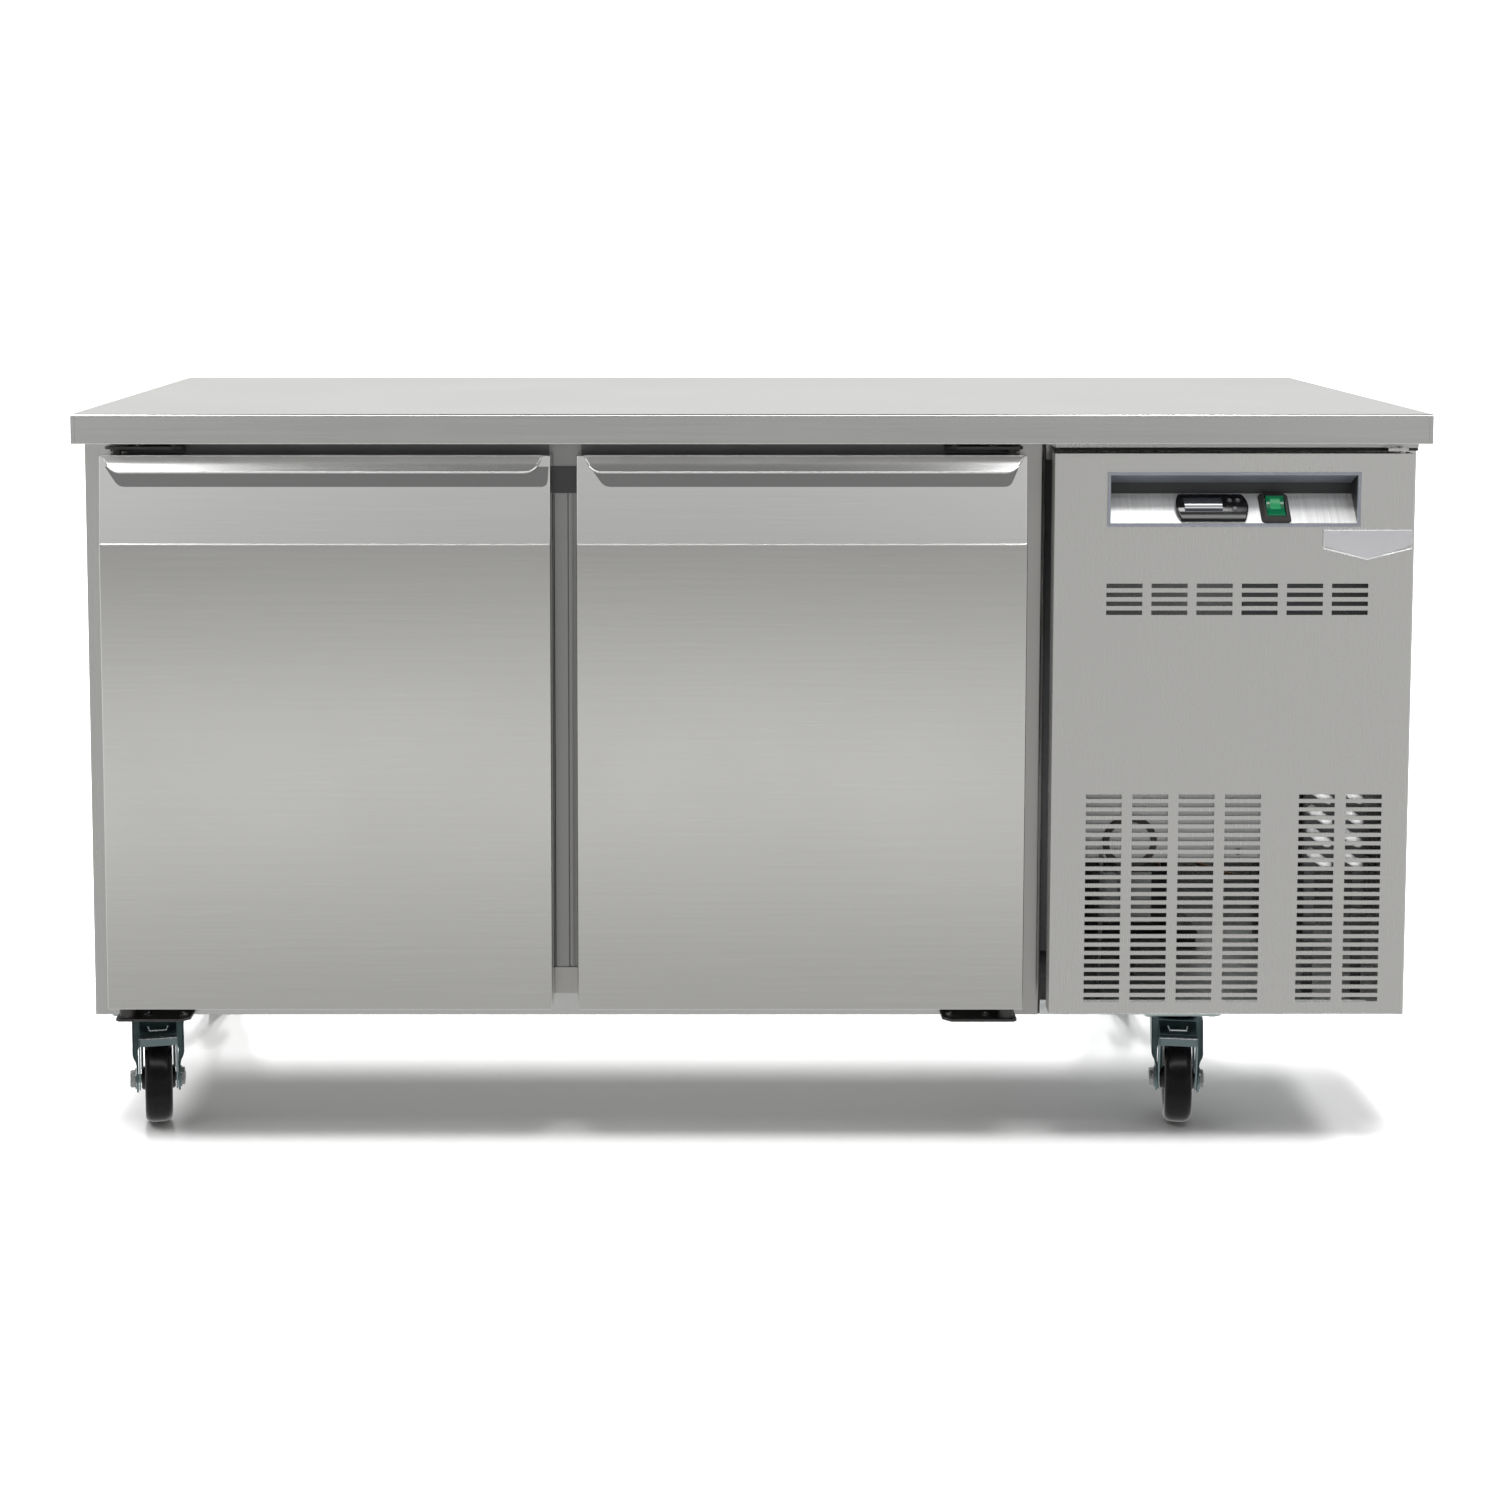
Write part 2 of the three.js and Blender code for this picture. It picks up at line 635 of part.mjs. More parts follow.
function addElectricalBox() {
  const box = block(345, 572, -262, -182, 303, 560);
  const grommet = cut(rodY(31, 442, -265, -260, 323, 28), rodY(26, 442, -270, -263.5, 323, 28));
  piece("electrical_box", "galvanised", join(box, grommet));
}

// ---------------------------------------------------------------- service panel
const LOUVRE = { length: 40, height: 5 };

// Blocks that cut the panel's ventilation slots, in columns that start at the given x values.
function louvres(columns, topZ, rows, pitch) {
  const slots = [];
  for (const x of columns) {
    for (let row = 0; row < rows; row++) {
      const z = topZ - row * pitch;
      const depth = [DOOR_FACE - 5, DOOR_FACE + 5];
      slots.push(block(x, x + LOUVRE.length, ...depth, z - LOUVRE.height, z));
    }
  }
  return slots;
}

const RECESS = { x0: 393.3, x1: 673, z0: 700, z1: 760.5 };

function addServicePanel() {
  const face = DOOR_FACE;
  const back = face + PANEL_FLANGE;
  const sheet = block(PANEL_LEFT, PANEL_RIGHT, face, face + SHEET, PANEL_BOTTOM, PANEL_TOP);
  const upperColumns = Array.from({ length: 6 }, (_, i) => 393.3 + 50 * i);
  const lowerColumns = Array.from({ length: 4 }, (_, i) => 373.8 + 51.7 * i).concat([611.4, 663.8]);
  const openings = [
    ...louvres(upperColumns, 636.5, 4, 10),
    ...louvres(lowerColumns, 399.4, 25, 9.62),
    block(RECESS.x0 + 1.5, RECESS.x1 - 1.5, face - 5, face + 5, RECESS.z0 + 1.5, RECESS.z1 - 1.5),
  ];
  const rim = cut(
    block(PANEL_LEFT, PANEL_RIGHT, face + SHEET / 2, back, PANEL_BOTTOM, PANEL_TOP),
    block(
      PANEL_LEFT + SHEET,
      PANEL_RIGHT - SHEET,
      face - 1,
      back + 1,
      PANEL_BOTTOM + SHEET,
      PANEL_TOP - SHEET,
    ),
  );
  const pins = [
    rodZ(PANEL_PIN_R, PANEL_HINGE.x, PANEL_HINGE.y, PANEL_BOTTOM - 5, PANEL_BOTTOM + 1, 12),
    rodZ(PANEL_PIN_R, PANEL_HINGE.x, PANEL_HINGE.y, PANEL_TOP - 1, PANEL_TOP + 6, 12),
  ];
  piece("service_panel", "steel", cut(join(sheet, rim, ...pins), ...openings));
}

function addControlTrim() {
  const r = RECESS;
  const face = DOOR_FACE;
  const ring = cut(
    join(
      block(r.x0, r.x1, face - GAP - 1, face - GAP, r.z0, r.z1),
      block(r.x0 + 1.8, r.x1 - 1.8, face - GAP - 0.5, face + 3, r.z0 + 1.8, r.z1 - 1.8),
    ),
    block(r.x0 + 3.3, r.x1 - 3.3, face - 5, face + 5, r.z0 + 3.3, r.z1 - 3.3),
  );
  piece("control_trim", "trimPlastic", ring);
}

// The control tray: a sloping plate below a dark back, closed by a ceiling and two ends.
const SLOPE = { y0: DOOR_FACE, z0: 702, y1: DOOR_FACE + 31, z1: 734 };
const SLOPE_ANGLE = Math.atan2(SLOPE.y1 - SLOPE.y0, SLOPE.z1 - SLOPE.z0);

// Moves a shape from the slope's own axes, X across and Z up the slope with -Y out of it, onto the slope.
function onSlope(geometry) {
  geometry.rotateX(-SLOPE_ANGLE);
  return geometry.translate(0, (SLOPE.y0 + SLOPE.y1) / 2, (SLOPE.z0 + SLOPE.z1) / 2);
}

const CONTROLLER = { x: 511, width: 79, height: 37, bodyWidth: 70.4, bodyHeight: 28.4 };
const SWITCH = { x: 581, width: 29, height: 39, bodyWidth: 24, bodyHeight: 32 };

function addControlTray() {
  const front = DOOR_FACE + 3 + GAP;
  const slopeAt = (y) => SLOPE.z0 + ((y - SLOPE.y0) * (SLOPE.z1 - SLOPE.z0)) / (SLOPE.y1 - SLOPE.y0);
  const ceilingFront = 757;
  const ceilingBack = 746.6;
  const inner = outline([
    [front - 5, slopeAt(front - 5)],
    [SLOPE.y1, SLOPE.z1],
    [SLOPE.y1, ceilingBack],
    [front - 5, ceilingFront + 1.6],
  ]);
  const outer = outline([
    [front, slopeAt(front) - 2.2],
    [SLOPE.y1 + SHEET, SLOPE.z1 - 0.6],
    [SLOPE.y1 + SHEET, ceilingBack + 1.2],
    [front, ceilingFront + 1.6],
  ]);
  const x0 = RECESS.x0 + 3.3;
  const x1 = RECESS.x1 - 3.3;
  const holes = [CONTROLLER, SWITCH].map((c) =>
    onSlope(
      block(
        c.x - c.bodyWidth / 2 - GAP,
        c.x + c.bodyWidth / 2 + GAP,
        -5,
        10,
        -c.bodyHeight / 2 - GAP,
        c.bodyHeight / 2 + GAP,
      ),
    ),
  );
  const tray = cut(prismX(outer, x0 - SHEET, x1 + SHEET), prismX(inner, x0, x1), ...holes);
  piece("control_tray", "steel", tray);
}

const BUTTONS = [
  { x: 20, z: 7 },
  { x: 29, z: 7 },
  { x: 24.5, z: -5 },
];

// The controller's face bulges at both ends, with round buttons to the right of its window.
function addController() {
  const c = CONTROLLER;
  const w = c.width / 2;
  const h = c.height / 2;
  const face = new THREE.Shape();
  face.moveTo(-w + 5, -h);
  face.lineTo(w - 5, -h);
  face.quadraticCurveTo(w + 4, 0, w - 5, h);
  face.lineTo(-w + 5, h);
  face.quadraticCurveTo(-w - 4, 0, -w + 5, -h);
  const bezel = prismY(face, -7, -GAP).translate(c.x, 0, 0);
  const body = block(
    c.x - c.bodyWidth / 2,
    c.x + c.bodyWidth / 2,
    -1,
    40,
    -c.bodyHeight / 2,
    c.bodyHeight / 2,
  );
  const pockets = BUTTONS.map((b) => rodY(3.3, c.x + b.x, -10, -4, b.z, 16));
  piece("controller", "blackPlastic", onSlope(cut(join(bezel, body), ...pockets)));
  BUTTONS.forEach((b, i) => {
    const button = onSlope(rodY(3, c.x + b.x, -7.8, -4.8, b.z, 16));
    piece(`controller_button_${i + 1}`, "greyPlastic", button);
  });
}

const ROCKER_TILT = THREE.MathUtils.degToRad(8);

// The rocker's face is a shallow V, and one half of it is always pressed in.
function addSwitch() {
  const s = SWITCH;
  const w = s.width / 2;
  const h = s.height / 2;
  const collar = cut(
    join(
      block(s.x - w, s.x + w, -7, -GAP, -h, h),
      block(s.x - s.bodyWidth / 2, s.x + s.bodyWidth / 2, -1, 26, -s.bodyHeight / 2, s.bodyHeight / 2),
    ),
    block(s.x - 10.5, s.x + 10.5, -10, 6, -14.5, 14.5),
  );
  piece("switch_bezel", "blackPlastic", onSlope(collar));
  const section = outline([
    [4, -6],
    [4, 6],
    [-5, 12.9],
    [-9, 12.5],
    [-6.2, 0],
    [-9, -12.5],
    [-5, -12.9],
  ]);
  const rocker = prismX(section, s.x - 10, s.x + 10);
  rocker.translate(0, -3, 0).rotateX(ROCKER_TILT).translate(0, 3, 0);
  piece("switch_rocker", "green", onSlope(rocker));
}

function addBadge() {
  const z1 = 697;
  const shape = outline([
    [632, z1],
    [632, z1 - 18],
    [682, z1 - 34],
    [PANEL_RIGHT - 0.5, z1 - 17],
    [PANEL_RIGHT - 0.5, z1],
  ]);
  piece("badge", "aluminium", prismY(shape, DOOR_FACE - GAP - 2, DOOR_FACE - GAP));
}

// ---------------------------------------------------------------- casters
// Each caster is drawn with its swivel axis at the origin of its own group.
const AXLE = { y: -CASTER_OFFSET, z: WHEEL_R };
const PLATE_TOP = CASTER_HEIGHT;
const RACE_BOTTOM = PLATE_TOP - 15;

function casterPlate() {
  const parts = [
    block(-45, 45, -45, 45, PLATE_TOP - 4, PLATE_TOP),
    block(-44, 44, -34, 34, PLATE_TOP - 7, PLATE_TOP - 3.5),
    rodZ(26, 0, 0, RACE_BOTTOM, PLATE_TOP - 6, 28),
  ];
  for (const x of [-36, 36]) {
    for (const y of [-25, 25]) {
      parts.push(rodZ(6, x, y, PLATE_TOP - 12, PLATE_TOP - 6, 6));
    }
  }
  return join(...parts);
}

function casterFork() {
  const top = RACE_BOTTOM - GAP;
  const thick = 3;
  const half = 29.5;
  const side = new THREE.Shape();
  side.moveTo(26, top);
  side.lineTo(-30, top);
  side.lineTo(AXLE.y - 16, AXLE.z);
  side.absarc(AXLE.y, AXLE.z, 16, Math.PI, 2 * Math.PI, false);
  side.lineTo(10, 88);
  const legs = [-1, 1].map((sign) => {
    const strip = outline([
      [sign * half, top],
      [sign * half, 80],
      [sign * 25.1, 68],
      [sign * 25.1, 30],
      [sign * 22.7, 30],
      [sign * 22.7, 68.6],
      [sign * (half - 2.5), 80.6],
      [sign * (half - 2.5), top],
    ]);
    return common(prismX(side, -31, 31), prismY(strip, -90, 40));
  });
  const nose = outline([
    [-20, top],
    [-24, top],
    [-58, top - 9],
    [-58, top - 9 - thick],
    [-24, top - thick],
    [-20, top - thick],
  ]);
  return join(
    block(-half, half, -30, 26, top - thick, top),
    prismX(nose, -21, 21),
    ...legs,
    rodX(5, -27, 27, AXLE.y, AXLE.z, 16),
    rodX(9.8, -32.5, -24.8, AXLE.y, AXLE.z, 6),
    rodX(9.2, 24.8, 31, AXLE.y, AXLE.z, 6),
  );
}

// The wheel's outline is turned about its axle. Its sides are counted so that it stands on a flat.
function casterWheel() {
  const sides = 24;
  const rim = WHEEL_R / Math.cos(Math.PI / sides);
  const w = WHEEL_WIDTH / 2;
  const hub = 19.4;
  const profile = [
    [5.7, -hub],
    [13, -hub],
    [14, -w + 5],
    [34, -w + 5],
    [36, -w],
    [rim - 4, -w],
    [rim, -w + 6],
    [rim, w - 6],
    [rim - 4, w],
    [36, w],
    [34, w - 5],
    [14, w - 5],
    [13, hub],
    [5.7, hub],
    [5.7, -hub],
  ].map(([r, x]) => new THREE.Vector2(r, x));
  const wheel = new THREE.LatheGeometry(profile, sides, Math.PI / sides);
  return wheel.rotateZ(-Math.PI / 2).translate(0, AXLE.y, AXLE.z);
}

function casterBrake() {
  const arm = new THREE.Shape();
  arm.absarc(AXLE.y, AXLE.z, 14, Math.PI / 4, -Math.PI, true);
  arm.lineTo(-68, 97);
  arm.lineTo(-68, 106);
  arm.lineTo(-60.5, 106);
  const hole = new THREE.Path();
  hole.absarc(AXLE.y, AXLE.z, 5.6, 0, 2 * Math.PI, false);
  arm.holes.push(hole);
  const bar = outline([
    [-68, 97],
    [-68, 106],
    [-61, 106],
    [-61, 103.5],
    [-65.5, 103.5],
    [-65.5, 97],
  ]);
  return join(prismX(arm, -22, -20), prismX(arm.clone(), 20, 22), prismX(bar, -22, 22));
}

function addCasters() {
  const places = [
    ["front_left", CASTER_X[0], CASTER_Y[0]],
    ["front_right", CASTER_X[1], CASTER_Y[0]],
    ["rear_left", CASTER_X[0], CASTER_Y[1]],
    ["rear_right", CASTER_X[1], CASTER_Y[1]],
  ];
  for (const [place, x, y] of places) {
    const caster = new THREE.Group();
    caster.position.set(x, y, 0);
    fridge.add(caster);
    const turn = THREE.MathUtils.degToRad(CASTER_TURN[place]);
    piece(`${place}_caster_plate`, "zinc", casterPlate(), caster);
    piece(`${place}_caster_fork`, "zinc", casterFork().rotateZ(turn), caster);
    piece(`${place}_caster_wheel`, "wheel", casterWheel().rotateZ(turn), caster);
    if (y < 0) piece(`${place}_caster_brake`, "zinc", casterBrake().rotateZ(turn), caster);
  }
}

// ---------------------------------------------------------------- assembly
addWorktop();
addColdRoomWalls();
addBayDivider();
addMullion();
addShelves();
addEvaporator();
addDoor("left", LEFT_DOOR_X, -1);
addDoor("right", RIGHT_DOOR_X, 1);
addHinges("left", LEFT_DOOR_X, -1);
addHinges("right", RIGHT_DOOR_X, 1);
addBayBase();
addBayCasing();
addCableGland();
addCondenser();
addCondenserFan();
addCompressor();
addElectricalBox();
addServicePanel();
addControlTrim();
addControlTray();
addController();
addSwitch();
addBadge();
addCasters();

export default fridge;
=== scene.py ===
import math

import bmesh
import bpy
from mathutils import Matrix, Vector


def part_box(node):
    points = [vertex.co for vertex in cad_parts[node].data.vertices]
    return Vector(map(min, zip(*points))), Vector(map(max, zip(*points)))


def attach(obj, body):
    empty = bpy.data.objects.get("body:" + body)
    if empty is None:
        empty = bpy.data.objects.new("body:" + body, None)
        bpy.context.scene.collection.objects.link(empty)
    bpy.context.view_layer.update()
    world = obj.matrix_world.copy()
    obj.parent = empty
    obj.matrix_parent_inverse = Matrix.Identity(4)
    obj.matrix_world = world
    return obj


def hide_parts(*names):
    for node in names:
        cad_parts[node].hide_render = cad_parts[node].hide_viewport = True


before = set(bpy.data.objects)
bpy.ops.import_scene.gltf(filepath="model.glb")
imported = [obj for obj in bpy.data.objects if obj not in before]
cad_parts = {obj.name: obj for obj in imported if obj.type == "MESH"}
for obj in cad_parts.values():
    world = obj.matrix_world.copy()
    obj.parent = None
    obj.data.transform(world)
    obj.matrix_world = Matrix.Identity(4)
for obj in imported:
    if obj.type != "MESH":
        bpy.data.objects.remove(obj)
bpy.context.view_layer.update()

MM = 0.001
PI = math.pi

# ---------------------------------------------------------------- dimensions, in millimetres
WORKTOP_FRONT = -350.0
WORKTOP_UNDER, WORKTOP_TOP = 792.0, 825.0
FRONT = -290.0  # cabinet front
REAR = 345.0
FACE = -344.0  # door and service panel faces
DOOR_BACK = -298.0
DOOR_BOTTOM, DOOR_TOP = 154.0, 778.0
BAND_BOTTOM = 680.0
DOOR_WIDTH = 500.0
DOORS = {"left": (-722.5, -1), "right": (-194.0, 1)}
ROOM = {"x0": -698.0, "x1": 282.0, "y0": FRONT, "y1": 299.7, "z0": 182.0, "z1": 742.0}
MULLION_X = -208.0
BAFFLE_SHEET = 1.4
SLOPE_MID = (-328.5, 718.0)
SLOPE_ANGLE = math.atan2(31, 32)
CASTERS = {
    "front_left": (-690.0, -230.0), "front_right": (500.0, -230.0), "rear_left": (-690.0, 230.0),
    "rear_right": (500.0, 230.0),
}
CASTER_TURN = {"front_left": 12, "front_right": -8}
AXLE_Y, AXLE_Z = -35.0, 50.0
FORK_TOP = 116.0
FORK_SHEET = 2.4
FORK_FRONT, FORK_BACK = -30.0, 26.0  # of a fork leg at the crown
FORK_LEAN = 21.0  # how far its front edge leans forward down to the axle
FORK_HALF_WIDTH, FORK_NARROWING = 29.4, 4.4
LEG_END_R = 16.0
CAMERA_PLACE = (-0.0714, -3.241, 1.0332)  # metres
CAMERA_TILT = 5.0  # degrees down
CAMERA_LENS = 63.28
CAMERA_SHIFT = (0.042, -0.1968)

# brightness of the studio by elevation in degrees, in front of the object and behind it
FRONT_SKY = [
    (-90, 0.95), (-38, 0.95), (-27, 0.50), (-19, 0.42), (-16, 0.45), (-13.6, 0.72), (-12, 1.00),
    (-10.6, 0.90), (-8.6, 0.50), (-7, 0.42), (-4.6, 0.16), (-2, 0.43), (1, 0.76), (3.5, 0.94),
    (6.5, 0.84), (11, 0.22), (50, 0.13), (66, 0.24), (90, 0.24),
]
BACK_SKY = [(-90, 0.6), (-12, 0.9), (-3, 1.03), (12, 1.03), (18, 0.9), (40, 0.6), (55, 0.12), (90, 0.08)]
# how the front's upper half falls off towards its middle, by X
ACROSS = [(-0.34, 1.16), (-0.16, 0.87), (-0.03, 0.76), (0.09, 0.82), (0.28, 1.15)]
SKY_GAIN = 1.1  # taken out of the ramp above and put back after it
SKY_BLUE = 0.985  # the studio is slightly warm


# ---------------------------------------------------------------- meshes
def arc(cx, cy, r, start, end, steps):
    """Points on a circle, with its angles in degrees."""
    out = []
    for i in range(steps + 1):
        a = math.radians(start + (end - start) * i / steps)
        out.append((cx + r * math.cos(a), cy + r * math.sin(a)))
    return out


def rounded(x0, x1, y0, y1, r, steps=4):
    """A rectangle's outline with rounded corners."""
    return (
        arc(x1 - r, y0 + r, r, -90, 0, steps)
        + arc(x1 - r, y1 - r, r, 0, 90, steps)
        + arc(x0 + r, y1 - r, r, 90, 180, steps)
        + arc(x0 + r, y0 + r, r, 180, 270, steps)
    )


def soften(points, r, picked):
    """Rounds the picked corners of an outline."""
    out = []
    count = len(points)
    for i, (x, z) in enumerate(points):
        if i not in picked:
            out.append((x, z))
            continue
        corner = Vector((x, z))
        before = Vector(points[i - 1]) - corner
        after = Vector(points[(i + 1) % count]) - corner
        a, b = corner + before.normalized() * r, corner + after.normalized() * r
        for k in range(7):
            t = k / 6
            out.append(tuple(a * (1 - t) ** 2 + corner * 2 * t * (1 - t) + b * t * t))
    return out


class Solid:
    """Collects closed forms, in millimetres, into one mesh."""

    def __init__(self):
        self.bm = bmesh.new()
        self.paint = 0

    def loft(self, loops, caps=True, ring=False):
        """Joins closed loops of points, each with the same number of points."""
        rows = [[self.bm.verts.new(p) for p in loop] for loop in loops]
        count = len(rows[0])
        pairs = list(zip(rows, rows[1:]))
        if ring:
            pairs.append((rows[-1], rows[0]))
        for low, high in pairs:
            for i in range(count):
                j = (i + 1) % count
                self._face([low[i], low[j], high[j], high[i]])
        if caps and not ring:
            self._face(rows[0][::-1])
            self._face(rows[-1])
        return rows

    def _face(self, verts):
        face = self.bm.faces.new(verts)
        face.material_index = self.paint
        return face

    def prism(self, outline, axis, a, b):
        place = {
            "x": lambda t, p: (t, p[0], p[1]), "y": lambda t, p: (p[0], t, p[1]), "z": lambda t,
            p: (p[0], p[1], t),
        }[axis]
        return self.loft([[place(t, p) for p in outline] for t in (a, b)])

    def box(self, x0, x1, y0, y1, z0, z1):
        return self.prism([(x0, y0), (x1, y0), (x1, y1), (x0, y1)], "z", z0, z1)

    def rod(self, axis, centre, r, a, b, sides=24, r_end=None):
        turned = [(r, a), (r if r_end is None else r_end, b)]
        return self.turn([(0.0, a)] + turned + [(0.0, b)], axis, centre, sides)

    def turn(self, profile, axis, centre, sides=32, closed=False, phase=0.0):
        """Turns a profile of (radius, height) about an axis. Radius 0 makes a pole."""
        place = {
            "x": lambda h, u, v: (h, centre[0] + u, centre[1] + v),
            "y": lambda h, u, v: (centre[0] + u, h, centre[1] + v),
            "z": lambda h, u, v: (centre[0] + u, centre[1] + v, h),
        }[axis]
        rows = []
        for r, h in profile:
            if r <= 1e-6:
                rows.append([self.bm.verts.new(place(h, 0, 0))])
                continue
            angles = [phase + 2 * PI * i / sides for i in range(sides)]
            rows.append([self.bm.verts.new(place(h, r * math.cos(a), r * math.sin(a))) for a in angles])
        pairs = list(zip(rows, rows[1:]))
        if closed:
            pairs.append((rows[-1], rows[0]))
        for low, high in pairs:
            for i in range(sides):
                j = (i + 1) % sides
                if len(low) == 1 and len(high) == 1:
                    continue
                if len(low) == 1:
                    self._face([low[0], high[j], high[i]])
                elif len(high) == 1:
                    self._face([low[i], low[j], high[0]])
                else:
                    self._face([low[i], low[j], high[j], high[i]])
        return rows

    def tube(self, points, r, sides=10, ring=False):
        """A round bar along a path."""
        path = [Vector(p) for p in points]
        count = len(path)
        ahead = []
        for i in range(count):
            before = path[i - 1] if i or ring else path[0]
            after = path[(i + 1) % count] if i < count - 1 or ring else path[-1]
            ahead.append((after - before).normalized())
        side = ahead[0].orthogonal().normalized()
        loops = []
        for point, way in zip(path, ahead):
            side = (side - way * side.dot(way)).normalized()
            up = way.cross(side)
            loop = []
            for k in range(sides):
                a = 2 * PI * k / sides
                loop.append(point + (side * math.cos(a) + up * math.sin(a)) * r)
            loops.append(loop)
        return self.loft(loops, ring=ring)

    def frame(self, x0, x1, z0, z1, profile):
        """Sweeps a closed profile of (inset, y) round a rectangle in the XZ plane."""
        loops = []
        for sx, sz in ((0, 0), (1, 0), (1, 1), (0, 1)):
            loop = []
            for inset, y in profile:
                x = x1 - inset if sx else x0 + inset
                z = z1 - inset if sz else z0 + inset
                loop.append((x, y, z))
            loops.append(loop)
        return self.loft(loops, ring=True)

    def drop_faces(self, test):
        """Deletes the faces whose middle passes the test, to leave an open sheet."""
        gone = [f for f in self.bm.faces if test(f.calc_center_median(), f)]
        bmesh.ops.delete(self.bm, geom=gone, context="FACES")

    def done(
        self, name, body, paints, replaces=(), bevel=0.0, segments=2, sheet=0.0, smooth=32,
        matrix=None,
    ):
        bmesh.ops.recalc_face_normals(self.bm, faces=self.bm.faces)
        if matrix is not None:
            bmesh.ops.transform(self.bm, matrix=matrix, verts=self.bm.verts)
        bmesh.ops.scale(self.bm, vec=(MM, MM, MM), verts=self.bm.verts)
        mesh = bpy.data.meshes.new(name)
        self.bm.to_mesh(mesh)
        self.bm.free()
        piece = bpy.data.objects.new(name, mesh)
        bpy.context.scene.collection.objects.link(piece)
        for paint in paints if isinstance(paints, (list, tuple)) else [paints]:
            mesh.materials.append(paint)
        finish_edges(piece, bevel, segments, smooth)
        if sheet:
            wall = piece.modifiers.new("sheet", "SOLIDIFY")
            wall.thickness = sheet * MM
            wall.offset = -1
        flat_faces(piece)
        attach(piece, body)
        if replaces:
            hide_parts(*replaces)
        return piece


def finish_edges(piece, bevel, segments, smooth):
    mesh = piece.data
    mesh.polygons.foreach_set("use_smooth", [True] * len(mesh.polygons))
    if bevel:
        edge = piece.modifiers.new("edges", "BEVEL")
        edge.width = bevel * MM
        edge.segments = segments
        edge.limit_method = "ANGLE"
        edge.angle_limit = math.radians(smooth)
    else:
        mesh.set_sharp_from_angle(angle=math.radians(smooth))


def flat_faces(piece):
    """Wide faces keep their own normal, and the roundings blend into them."""
    normals = piece.modifiers.new("normals", "WEIGHTED_NORMAL")
    normals.keep_sharp = True
    normals.weight = 80


# ---------------------------------------------------------------- materials
class Paint:
    """A procedural material, built on a Principled shader in the piece's own coordinates."""

    def __init__(self, name, color, roughness, metallic=0.0, **sockets):
        self.material = bpy.data.materials.new(name)
        self.material.use_nodes = True
        self.tree = self.material.node_tree
        self.shader = self.tree.nodes["Principled BSDF"]
        self.color = color
        self.roughness = roughness
        self.shader.inputs["Base Color"].default_value = (*color, 1)
        self.shader.inputs["Roughness"].default_value = roughness
        self.shader.inputs["Metallic"].default_value = metallic
        for key, value in sockets.items():
            self.shader.inputs[key.replace("_", " ")].default_value = value
        self.place = self.node("ShaderNodeTexCoord").outputs["Object"]

    def node(self, kind, **values):
        made = self.tree.nodes.new(kind)
        for key, value in values.items():
            setattr(made, key, value)
        return made

    def wire(self, a, b):
        self.tree.links.new(a, b)

    def stretch(self, scale):
        mapping = self.node("ShaderNodeMapping")
        mapping.inputs["Scale"].default_value = scale
        self.wire(self.place, mapping.inputs["Vector"])
        return mapping.outputs["Vector"]

    def noise(self, scale, detail=2.0, rough=0.5, stretch=None):
        noise = self.node("ShaderNodeTexNoise")
        noise.inputs["Scale"].default_value = scale
        noise.inputs["Detail"].default_value = detail
        noise.inputs["Roughness"].default_value = rough
        self.wire(self.stretch(stretch) if stretch else self.place, noise.inputs["Vector"])
        return noise.outputs["Fac"]

    def cells(self, scale, feature="F1"):
        cells = self.node("ShaderNodeTexVoronoi", feature=feature)
        cells.inputs["Scale"].default_value = scale
        self.wire(self.place, cells.inputs["Vector"])
        return cells

    def range(self, value, low, high, start=0.0, end=1.0):
        spread = self.node("ShaderNodeMapRange")
        for key, number in (("From Min", start), ("From Max", end), ("To Min", low), ("To Max", high)):
            spread.inputs[key].default_value = number
        self.wire(value, spread.inputs["Value"])
        return spread.outputs["Result"]

    def math(self, kind, a, b):
        result = self.node("ShaderNodeMath", operation=kind)
        for i, value in enumerate((a, b)):
            if isinstance(value, (int, float)):
                result.inputs[i].default_value = value
            else:
                self.wire(value, result.inputs[i])
        return result.outputs[0]

    def tint(self, value, dark, light):
        """The base colour runs from dark to light times the paint's own colour."""
        ramp = self.node("ShaderNodeValToRGB")
        for stop, gain in zip(ramp.color_ramp.elements, (dark, light)):
            stop.color = (*[min(1.0, c * gain) for c in self.color], 1)
        self.wire(value, ramp.inputs["Fac"])
        self.wire(ramp.outputs["Color"], self.shader.inputs["Base Color"])

    def rough(self, value, low, high):
        self.wire(self.range(value, low, high), self.shader.inputs["Roughness"])

    def bump(self, value, strength, distance_mm):
        bump = self.node("ShaderNodeBump")
        bump.inputs["Strength"].default_value = strength
        bump.inputs["Distance"].default_value = distance_mm * MM
        self.wire(value, bump.inputs["Height"])
        self.wire(bump.outputs["Normal"], self.shader.inputs["Normal"])

    def grain_tangent(self, way):
        """The brushing direction turns with the piece."""
        turned = self.node("ShaderNodeVectorTransform", vector_type="VECTOR")
        turned.convert_from = "OBJECT"
        turned.convert_to = "WORLD"
        turned.inputs[0].default_value = way
        self.wire(turned.outputs[0], self.shader.inputs["Tangent"])


